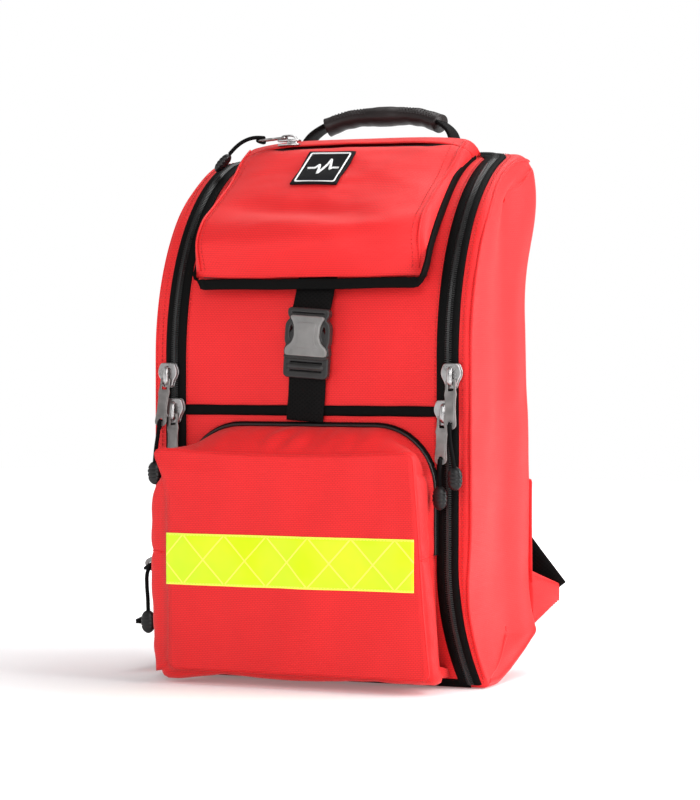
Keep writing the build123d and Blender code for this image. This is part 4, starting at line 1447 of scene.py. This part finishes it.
def build_closing_strap():
    lower = [on_strap(0, y, lift) for y, lift in (
        (-62.5, 1.6), (-56, 2.3), (-50, 2.1), (-42, 1.2), (-30, 1.4), (-22, 1.9), (-17, 3.0), (-13.4, 6.4), (-10, 7.6),
        (-6.6, 6.6), (-4.6, 3.6),
    )]
    strap = ribbon("closing_strap_lower", spline(lower, 46), STRAP_WIDTH, STRAP_THICK, STRAP_X, WEBBING)
    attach(strap, "front_panel")
    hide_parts("strap_webbing_lower")
    upper = [
        (6.7, -88, 398), (6.4, -92.5, 388), (5.8, -96.5, 377), (5.2, -100.5, 367), (4.9, -103.6, 361.4),
        (4.7, -105.4, 358.4),
    ]
    returning = [(x, y + 2.4, z) for x, y, z in upper[:-1]]
    top = ribbon("closing_strap_upper", spline(upper, 30), STRAP_WIDTH, STRAP_THICK, STRAP_X, WEBBING)
    back = ribbon("closing_strap_return", spline(returning, 24), STRAP_WIDTH, STRAP_THICK, STRAP_X, WEBBING)
    for piece in (top, back):
        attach(piece, "lid")
    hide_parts("strap_webbing_upper")
    for name, y in (("low", -60.6), ("high", -54)):
        line = [on_strap(x, y, 3.4) for x in np.linspace(-17, 17, 10)]
        stitches("closing_strap_stitches_" + name, line, (0, -1, 0), "front_panel", 3.2, 2.3, 0.5, 0, CORD)


build_buckle()
build_closing_strap()


# ---------------------------------------------------------------- sliders, pullers, cords and grips
CORD_RADIUS = 2
TAPE_Y = -96.6
HINGE_Y = -104.8
MAIN_SLIDER_SIZE = 20
SHIELD = ((7.2, 11.5), (9.8, 5), (9.6, 0.5), (5.8, -6.5), (4.6, -11.5))
SLIDER_POST = ((3.2, 9), (4.4, 3), (2.4, -2))
SLIDER_ARCH = ((8.4, 5.2), (7.2, 8.4), (3.4, 10.0), (-2, 10.2), (-6.6, 9.6), (-8.8, 7.6), (-9.0, 5.2))
PULLS = {
    "upper": {
        "slider": (150, 300), "hinge": (150.8, 295.5), "along": (0.048, -0.163, -1), "length": 46, "cord_length": 40.9,
        "cord": ((152.9, -114.6, 254.4), (153.7, -115.8, 241), (156.2, -116, 227), (158, -114.6, 214)),
        "grip": (158.3, -113.6, 203.4),
    },
    "lower": {
        "slider": (143, 265), "hinge": (142.5, 260.5), "along": (-0.022, -0.06, -1), "length": 44, "cord_length": 30.8,
        "cord": ((141.6, -110, 221), (141.9, -111.8, 211), (142.3, -112.6, 201), (142.6, -112.3, 190.4)),
        "grip": (142.8, -112.4, 184.6),
    },
}


def build_slider(name, plane, size):
    wide = size / MAIN_SLIDER_SIZE
    origin, x_dir, y_dir = (Vector(v) for v in plane)
    normal = x_dir.cross(y_dir)
    shield = mirrored_loop([(x * wide, y) for x, y in SHIELD], 2)
    low = plate("slider_wings_" + name, [shield], plane, 2.0, 0.7, SLIDER)
    shield = mirrored_loop([(x * wide * 0.96, y * 0.97) for x, y in SHIELD], 2)
    top = plate("slider_top_" + name, [shield], plane, 2.2, 0.9, SLIDER, lift=4.0)
    post_loop = mirrored_loop([(x * wide, y) for x, y in SLIDER_POST], 1.2)
    post = plate("slider_post_" + name, [post_loop], plane, 4.6, 0.4, SLIDER, lift=0.4)
    arch = spline([origin + y_dir * y + normal * h for y, h in SLIDER_ARCH], 26)
    bridge = tube(
        "slider_bridge_" + name, arch, lambda u: (2.0 + 0.7 * math.sin(math.pi * u), 1.05), SLIDER, 12, up=x_dir
    )
    for piece in (low, top, post, bridge):
        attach(piece, "slider_" + name)
    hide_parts("zip_slider_" + name)


def build_puller(name, hinge, along, across, length):
    """The flat puller; gives the centre of its cord hole and the directions it faces and hangs along."""
    along, across = Vector(along).normalized(), Vector(across).normalized()
    face = across.cross(-along)
    foot = length - 5
    outline = (
        (4.7, 1.4), (5.0, -9), (6.0, -13), (5.1, -17), (4.9, -length * 0.62), (5.7, -foot + 2),
        (5.8, -length + 2.5), (3.4, -length),
    )
    plane = (Vector(hinge) - face * 0.9, across, -along)
    loops = [mirrored_loop(outline, 1.8), box_loop(3.3, -0.9, -10.3, 1.4), circle_loop(0, -foot, 2.6)]
    body = plate("puller_plate_" + name, loops, plane, 1.8, 0.45, PULLER)
    loops = [mirrored_loop([(x * 0.72, y * 0.93 - 1.2) for x, y in outline[2:7]], 1.5), circle_loop(0, -foot, 3.3)]
    rim = plate("puller_face_" + name, loops, plane, 2.4, 0.25, PULLER, lift=-0.3)
    for piece in (body, rim):
        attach(piece, "puller_" + name)
    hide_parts("zip_puller_" + name)
    return Vector(hinge) + along * foot, face, along


def build_cord(name, route, puller, grip_centre, grip_along=(0, 0, -1), grip_facing=(0, -1, 0)):
    """A pull cord along its route, its loop through the puller's hole and its grip."""
    hole, face, along = puller
    body = "puller_" + name
    data = bpy.data.curves.new("cord_" + name, "CURVE")
    data.dimensions = "3D"
    data.bevel_depth = CORD_RADIUS * MM
    data.bevel_resolution = 4
    data.resolution_u = 16
    data.use_fill_caps = True
    line = data.splines.new("NURBS")
    line.points.add(len(route) - 1)
    for point, place in zip(line.points, route):
        point.co = (*(Vector(place) * MM), 1)
    line.order_u = 3
    line.use_endpoint_u = True
    piece = add_object("cord_" + name, data, CORD)
    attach(piece, body)
    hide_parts("pull_cord_" + name)
    start = Vector(route[0])
    direction = (Vector(route[1]) - start).normalized()
    loop = spline([
        start + direction * 3, start + face * 0.6, hole + face * 2.2, hole, hole - face * 2.4,
        hole - face * 1.6 + along * 5, hole + face * 0.4 + along * 8.4, start + direction * 5,
    ], 44)
    knot = tube("cord_loop_" + name, loop, 1.25, CORD, 10)
    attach(knot, body)
    grip = build_grip(name, Vector(grip_centre), Vector(grip_along).normalized(), Vector(grip_facing).normalized())


def build_grip(name, centre, along, facing):
    """Oval moulded grip over the cord's end, with a waist and three shallow grooves."""
    across = along.cross(facing)
    rows = []
    for u in np.linspace(-1, 1, 45):
        swell = max(0.0, 1 - abs(u) ** 2.4) ** 0.5
        groove = 1 - 0.10 * sum(math.exp(-((u - c) / 0.05) ** 2) for c in (-0.35, 0.0, 0.35))
        a, b = 7.4 * max(0.16, swell) * groove, 4.5 * max(0.2, swell) * groove
        middle = centre + along * u * 11.4
        rows.append([
            middle + across * a * signed_power(math.cos(t), 0.8) + facing * b * signed_power(math.sin(t), 0.8)
            for t in turn_angles(24)
        ])
    grip = fill_ends(grid_object("grip_" + name, rows, TOGGLE, closed_columns=True))
    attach(grip, "puller_" + name)
    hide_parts("pull_toggle_" + name)
    return grip


def build_main_pull(name, side, pull):
    x, z = pull["slider"]
    build_slider(name, ((side * x, TAPE_Y, z), (1, 0, 0), (0, 0, 1)), MAIN_SLIDER_SIZE)
    x, y, z = pull["along"]
    along = Vector((side * x, y, z)).normalized()
    across = Vector((0, -1, 0)).cross(along).normalized()
    x, z = pull["hinge"]
    puller = build_puller(name, (side * x, HINGE_Y, z), along, across, pull["length"])
    route = [(side * x, y, z) for x, y, z in pull["cord"]]
    x, y, z = pull["grip"]
    build_cord(name, route, puller, (side * x, y, z))


def build_pocket_pull():
    build_slider("pocket", ((-141.6, TAPE_Y, 128), (1, 0, 0), (0, 0, 1)), 13.6)
    puller = build_puller("pocket", (-145.3, HINGE_Y, 126), (-1, 0, -0.62), (-0.62, 0, 1), 31)
    route = (
        (-166.6, -107.6, 112.6), (-170, -108.6, 104.5), (-170.6, -107.6, 92), (-170, -106.4, 79), (-169.6, -106.4, 66),
    )
    build_cord("pocket", route, puller, (-169.6, -106.4, 55))


def build_lid_pull():
    build_slider("lid", ((-70, 14, 532.8), (0, -1, 0), (1, 0, 0)), 14)
    puller = build_puller("lid", (-74.5, 14, 541), (-1, 0, -0.08), (0, -1, 0), 28)
    route = ((-97.6, 14, 541.6), (-106, 12.6, 542.8), (-117, 10, 540), (-127, 7, 533), (-133, 5, 525.4))
    build_cord("lid", route, puller, (-139.6, 3.6, 516.6), (-0.66, -0.1, -0.75), (0.75, 0, -0.66))


for side, side_name in ((-1, "left"), (1, "right")):
    for level, pull in PULLS.items():
        build_main_pull(side_name + "_" + level, side, pull)


build_pocket_pull()
build_lid_pull()


# ---------------------------------------------------------------- carry handle
HANDLE_Y = 79
HANDLE_FOOT_Z = 521
HANDLE_LEAN = 0.5


def on_handle(*points):
    """Points of the handle's leaning middle plane, from their X and Z."""
    return [(x, HANDLE_Y + HANDLE_LEAN * (z - HANDLE_FOOT_Z), z) for x, z in points]


def handle_section(u):
    """Half-axes of the grip's section: thicker in the middle and at the ends, with shallow finger waves."""
    centre = math.exp(-((u - 0.5) / 0.11) ** 4)
    ends = math.exp(-(min(u, 1 - u) / 0.035) ** 2)
    waves = 0.45 * math.cos((u - 0.5) * 2 * math.pi * 7)
    return 13.0 + 1.6 * centre + 1.2 * ends, 9.2 + 1.2 * centre + 1.0 * ends + waves * (1 - centre) * 0.8


def build_grip_dots(line):
    """Small raised dots on the grip's front, in two groups."""
    verts, faces = [], []
    for i in (*range(10, 44, 3), *range(78, 112, 3)):
        p = Vector(line[i])
        along = Vector(line[i + 1] - line[i - 1]).normalized()
        up = Vector((0, 1, 0)).cross(along)
        if up.z < 0:
            up = -up
        for tilt in (0.25, 0.62, 0.98):
            out = (Vector((0, -1, 0)) * math.cos(tilt) + up * math.sin(tilt)).normalized()
            reach = (13.1 ** -2 * math.cos(tilt) ** 2 + 9.4 ** -2 * math.sin(tilt) ** 2) ** -0.5
            place = p + out * (reach - 0.15)
            other = along.cross(out)
            start = len(verts)
            for size, height in ((1.05, 0.0), (0.9, 0.42), (0.45, 0.62)):
                verts += [
                    place + (along * math.cos(a) + other * math.sin(a)) * size + out * height for a in turn_angles(8)
                ]
            faces += ring_faces(start, 3, 8)
            faces.append(tuple(start + 16 + k for k in range(8)))
    dots = box_uv(clean(mesh_object("handle_grip_dots", verts, faces, GRIP), 0.0005))
    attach(dots, "carry_handle")


def build_handle():
    path = on_handle((-90, 521), (-86.5, 529), (-75, 550), (-62, 559), (-40, 565.4), (0, 567))
    path += [(-x, y, z) for x, y, z in path[-2::-1]]
    web = ribbon("handle_webbing_cloth", spline(path, 90), WEB_WIDTH, 4.4, (0, 1, 0), WEBBING)
    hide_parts("handle_webbing")
    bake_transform(web)
    line = on_handle((-63, 557.4), (-44, 564), (0, 567.2), (44, 564), (63, 557.4))
    grip = tube("handle_grip_moulding", spline(line, 96), handle_section, GRIP, 28, up=(0, 1, 0))
    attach(grip, "carry_handle")
    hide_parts("handle_grip")
    build_grip_dots(spline(line, 121))


build_handle()


# ---------------------------------------------------------------- back: pads, straps and their fittings
PAD_FRONT = 91.9
PAD_THICK = 11.0
PAD_CORNER = 20.0
PAD_WALL = 5.0


def build_pad(name, node, centre_x, width, low, high):
    """Foam pad on the back: a flat base and a swollen face inside a rounded outline, filled by simulation."""
    half_w, half_h = width / 2 - 1.5, (high - low) / 2 - 1.5
    corners = ((half_w, -half_h), (half_w, half_h), (-half_w, half_h), (-half_w, -half_h))
    outline = rounded_loop(corners, PAD_CORNER, 9)
    outline = [tuple(p[:2]) for p in resample([(x, z, 0) for x, z in outline + outline[:1]], 6)[:-1]]
    middle_z = (low + high) / 2

    def ring(size, rise):
        return [(centre_x + x * size, PAD_FRONT + rise, middle_z + z * size) for x, z in outline]

    rings = [ring(s, 0) for s in (0.02, 0.35, 0.7, 0.97)] + [ring(1, rise) for rise in (1.2, 3.2, PAD_WALL)]
    for s in (0.985, 0.955, 0.91, 0.85, 0.77, 0.68, 0.58, 0.47, 0.35, 0.22, 0.1, 0.02):
        rings.append(ring(s, PAD_WALL + (PAD_THICK - 7.6) * (1 - s ** 7) ** 0.7))
    pad = fill_ends(grid_object(name, rings, MESH, closed_columns=True))
    inflate(pad, {i: 1.0 for i in range(len(outline) * 5)}, 3.0, 12, 2.4)
    box_uv(pad)
    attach(pad, "pack")
    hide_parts(node)
    edge = [(centre_x + x * 1.012, PAD_FRONT + 2.6, middle_z + z * 1.006) for x, z in outline]
    binding = tube(name + "_binding", edge, lambda u: (1.6, 2.2), BINDING, closed=True, up=(0, 1, 0))
    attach(binding, "pack")


build_pad("back_pad_left_foam", "back_pad_left", -68, 96, 196, 470)
build_pad("back_pad_right_foam", "back_pad_right", 68, 96, 196, 470)
build_pad("lumbar_foam", "lumbar_pad", 0, 236, 62, 178)

STRAP_RINGS = 64
STRAP_SIDES = 26


def build_shoulder_strap(side, name):
    path = spline([(side * 78, y, z) for y, z in (
        (97, 485), (104, 484), (114, 474), (122, 452), (128, 415), (130.5, 360), (130.5, 310), (128, 258), (125.3, 214),
    )], STRAP_RINGS)
    rows = []
    for i, (p, _, wide, thin) in enumerate(frames_along(path, (1, 0, 0))):
        share = i / (STRAP_RINGS - 1)
        end = smooth_step(0, 0.05, share) * smooth_step(1, 0.965, share)
        w, h = 27.4 * (0.86 + 0.14 * end), 5.2 * (0.45 + 0.55 * end)
        rows.append([
            p + wide * w * signed_power(math.cos(t), 0.45) + thin * h * signed_power(math.sin(t), 0.75)
            for t in turn_angles(STRAP_SIDES)
        ])
    pad = fill_ends(grid_object("shoulder_pad_" + name, rows, MESH, closed_columns=True))
    last = (STRAP_RINGS - 2) * STRAP_SIDES
    pinned = {
        i: 1.0 for i in range(len(pad.data.vertices))
        if i % STRAP_SIDES in (0, STRAP_SIDES // 2) or i < 2 * STRAP_SIDES or i >= last
    }
    inflate(pad, pinned, 2.0, 10, 1.4)
    modifier(pad, "SUBSURF", levels=1, render_levels=1)
    bake_modifiers(pad)
    box_uv(pad)
    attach(pad, "pack")
    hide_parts("shoulder_strap_" + name)
    for edge in (-1, 1):
        line = [(x + edge * 27.6, y, z) for x, y, z in path[1:-1]]
        trim_name = "shoulder_binding_" + name + ("_in" if edge * side < 0 else "_out")
        trim = tube(trim_name, line, lambda u: (1.3, 2.6), BINDING, 8, up=(1, 0, 0))
        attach(trim, "pack")
    line = [(x, y + 6.6, z) for x, y, z in path[14:58]]
    strip = ribbon("shoulder_webbing_" + name, line, WEB_WIDTH, 1.4, (1, 0, 0), WEBBING)
    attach(strip, "pack")


def build_lower_strap(side, name):
    """The adjuster under the shoulder pad and the webbing from it to the side's anchor tab."""
    end = Vector((side * 86, 125, 201))
    tip = Vector((side * 178, 142, 74))
    down = (tip - end).normalized()
    across = Vector((0, 1, 0)).cross(down).normalized()
    facing = down.cross(across)
    loops = [box_loop(18, 0, 26, 4), box_loop(14, 6, 10.5, 1.4), box_loop(14, 15.5, 20, 1.4)]
    adjuster = plate("strap_buckle_" + name, loops, (end + facing * 3, across, down), 6, 1.6, PLASTIC)
    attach(adjuster, "pack")
    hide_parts("strap_adjuster_" + name)
    start = end + down * 12
    sag = Vector((0, 1.5, -2.5))
    line = [
        end - down * 12 + Vector((0, 0, 4)), end + down * 2 + Vector((0, 2.4, 0)), start, end + down * 30,
        start.lerp(tip, 0.55) + sag, tip - down * 6,
    ]
    web = ribbon("strap_web_" + name, spline(line, 48), WEB_WIDTH, 2.0, across, WEBBING)
    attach(web, "pack")
    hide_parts("strap_webbing_" + name)
    build_anchor_tab(side, name, tip)


def build_anchor_tab(side, name, tip):
    """Red tab sewn to the compartment's rear edge, which the lower webbing is held by."""
    low, high = Vector((side * 165, 91, 44)), Vector((side * 165, 91, 102))
    bulge = Vector((side * 2.2, 0.8, 0))
    rows = []
    for u in np.linspace(0, 1, 16):
        a, b = low.lerp(tip + Vector((0, 0, -5)), u), high.lerp(tip + Vector((0, 0, 11)), u)
        rows.append([
            a.lerp(b, v) + bulge * math.sin(math.pi * u) * math.sin(math.pi * v) for v in np.linspace(0, 1, 12)
        ])
    tab = grid_object("strap_wing_" + name, rows, RED)
    clean(tab)
    finish_cloth(tab, 3.0)
    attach(tab, "pack")
    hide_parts("strap_tab_" + name)
    out = (high - low).cross(tip - low).normalized() * -side
    for share, label in ((0.10, "low"), (0.90, "high")):
        goal = tip + Vector((0, 0, 16 * share - 5))
        line = [low.lerp(high, share).lerp(goal, u) + out * 1.8 for u in np.linspace(0.06, 0.94, 8)]
        stitches("strap_wing_stitches_" + name + "_" + label, line, out, "pack")


def build_strap_tail():
    """The left strap's loose end, with its folded tip."""
    start, end = Vector((-192, 116, 66)), Vector((-201, -50, 47))
    line = [start + (end - start) * u + Vector((0, 0, 2.2 * math.sin(math.pi * u))) for u in np.linspace(0, 1, 40)]
    tail = ribbon("strap_tail_web", line, WEB_WIDTH, 2.2, (1, 0.13, 0), WEBBING)
    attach(tail, "pack")
    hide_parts("strap_tail_left")
    folded = [p + Vector((0, 0, 2.2)) for p in line[34:]]
    fold = ribbon("strap_tail_fold", folded, WEB_WIDTH, 2.2, (1, 0.13, 0), WEBBING)
    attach(fold, "pack")


def dress_cad_piece(node, material):
    """Gives a CAD piece that stays visible its material."""
    piece = bpy.data.objects[node]
    if not piece.material_slots:
        piece.data.materials.append(material)
    for holder in piece.material_slots:
        holder.link = "OBJECT"
        holder.material = material


for side, name in ((-1, "left"), (1, "right")):
    build_shoulder_strap(side, name)
    build_lower_strap(side, name)


build_strap_tail()
dress_cad_piece("back_stiffener", BOARD)
dress_cad_piece("back_panel", MESH)
dress_cad_piece("buckle_prong_left", PLASTIC)
dress_cad_piece("buckle_prong_right", PLASTIC)


# ---------------------------------------------------------------- stage
STUDIO_CENTRE = Vector((0, 0, 0.28))
LAMPS = (
    ("key", (0.5, -2.2, 1.1), 1.5, 23), ("fill", (-1.9, -1.2, 0.9), 1.8, 8), ("top", (0.3, 0.7, 2.1), 1.4, 26),
    ("side", (2.1, 0.1, 1.1), 1.5, 64),
)


def make_floor():
    """A pale floor that glows more with the distance, so it fades into the backdrop."""
    rows = [[(x, y, -0.6) for x in np.linspace(-4000, 4000, 5)] for y in np.linspace(-4000, 4000, 5)]
    floor = grid_object("floor", rows)
    material, tree, shader = node_material("floor")
    set_inputs(shader, {
        "Base Color": (0.86, 0.86, 0.87, 1), "Roughness": 0.8, "Specular IOR Level": 0.1,
        "Emission Color": (1, 1, 1, 1),
    })
    distance = add_node(tree, "ShaderNodeVectorMath", operation="LENGTH")
    link(tree, object_source(tree), distance.inputs[0])
    glow = add_node(tree, "ShaderNodeMapRange", **{"From Min": 0.3, "From Max": 1.6, "To Min": 0.16, "To Max": 0.9})
    link(tree, distance.outputs["Value"], glow.inputs[0])
    link(tree, glow.outputs[0], shader.inputs["Emission Strength"])
    floor.data.materials.append(material)


def make_world():
    """A dim white light all round, with a full white backdrop for the camera."""
    world = bpy.data.worlds.new("studio")
    bpy.context.scene.world = world
    world.use_nodes = True
    tree = world.node_tree
    light = tree.nodes["Background"]
    set_inputs(light, {"Color": (1, 1, 1, 1), "Strength": 0.30})
    backdrop = add_node(tree, "ShaderNodeBackground", Color=(1, 1, 1, 1), Strength=1.0)
    seen = add_node(tree, "ShaderNodeLightPath")
    both = add_node(tree, "ShaderNodeMixShader")
    link(tree, seen.outputs["Is Camera Ray"], both.inputs[0])
    link(tree, light.outputs[0], both.inputs[1])
    link(tree, backdrop.outputs[0], both.inputs[2])
    link(tree, both.outputs[0], tree.nodes["World Output"].inputs[0])


def make_lamps():
    for name, place, size, power in LAMPS:
        light = bpy.data.lights.new(name, "AREA")
        light.energy = power
        light.size = size
        lamp = bpy.data.objects.new(name, light)
        lamp.location = place
        lamp.rotation_euler = (STUDIO_CENTRE - Vector(place)).to_track_quat("-Z", "Y").to_euler()
        bpy.context.scene.collection.objects.link(lamp)


make_floor()
make_world()
make_lamps()
bpy.context.scene.view_settings.view_transform = "Standard"
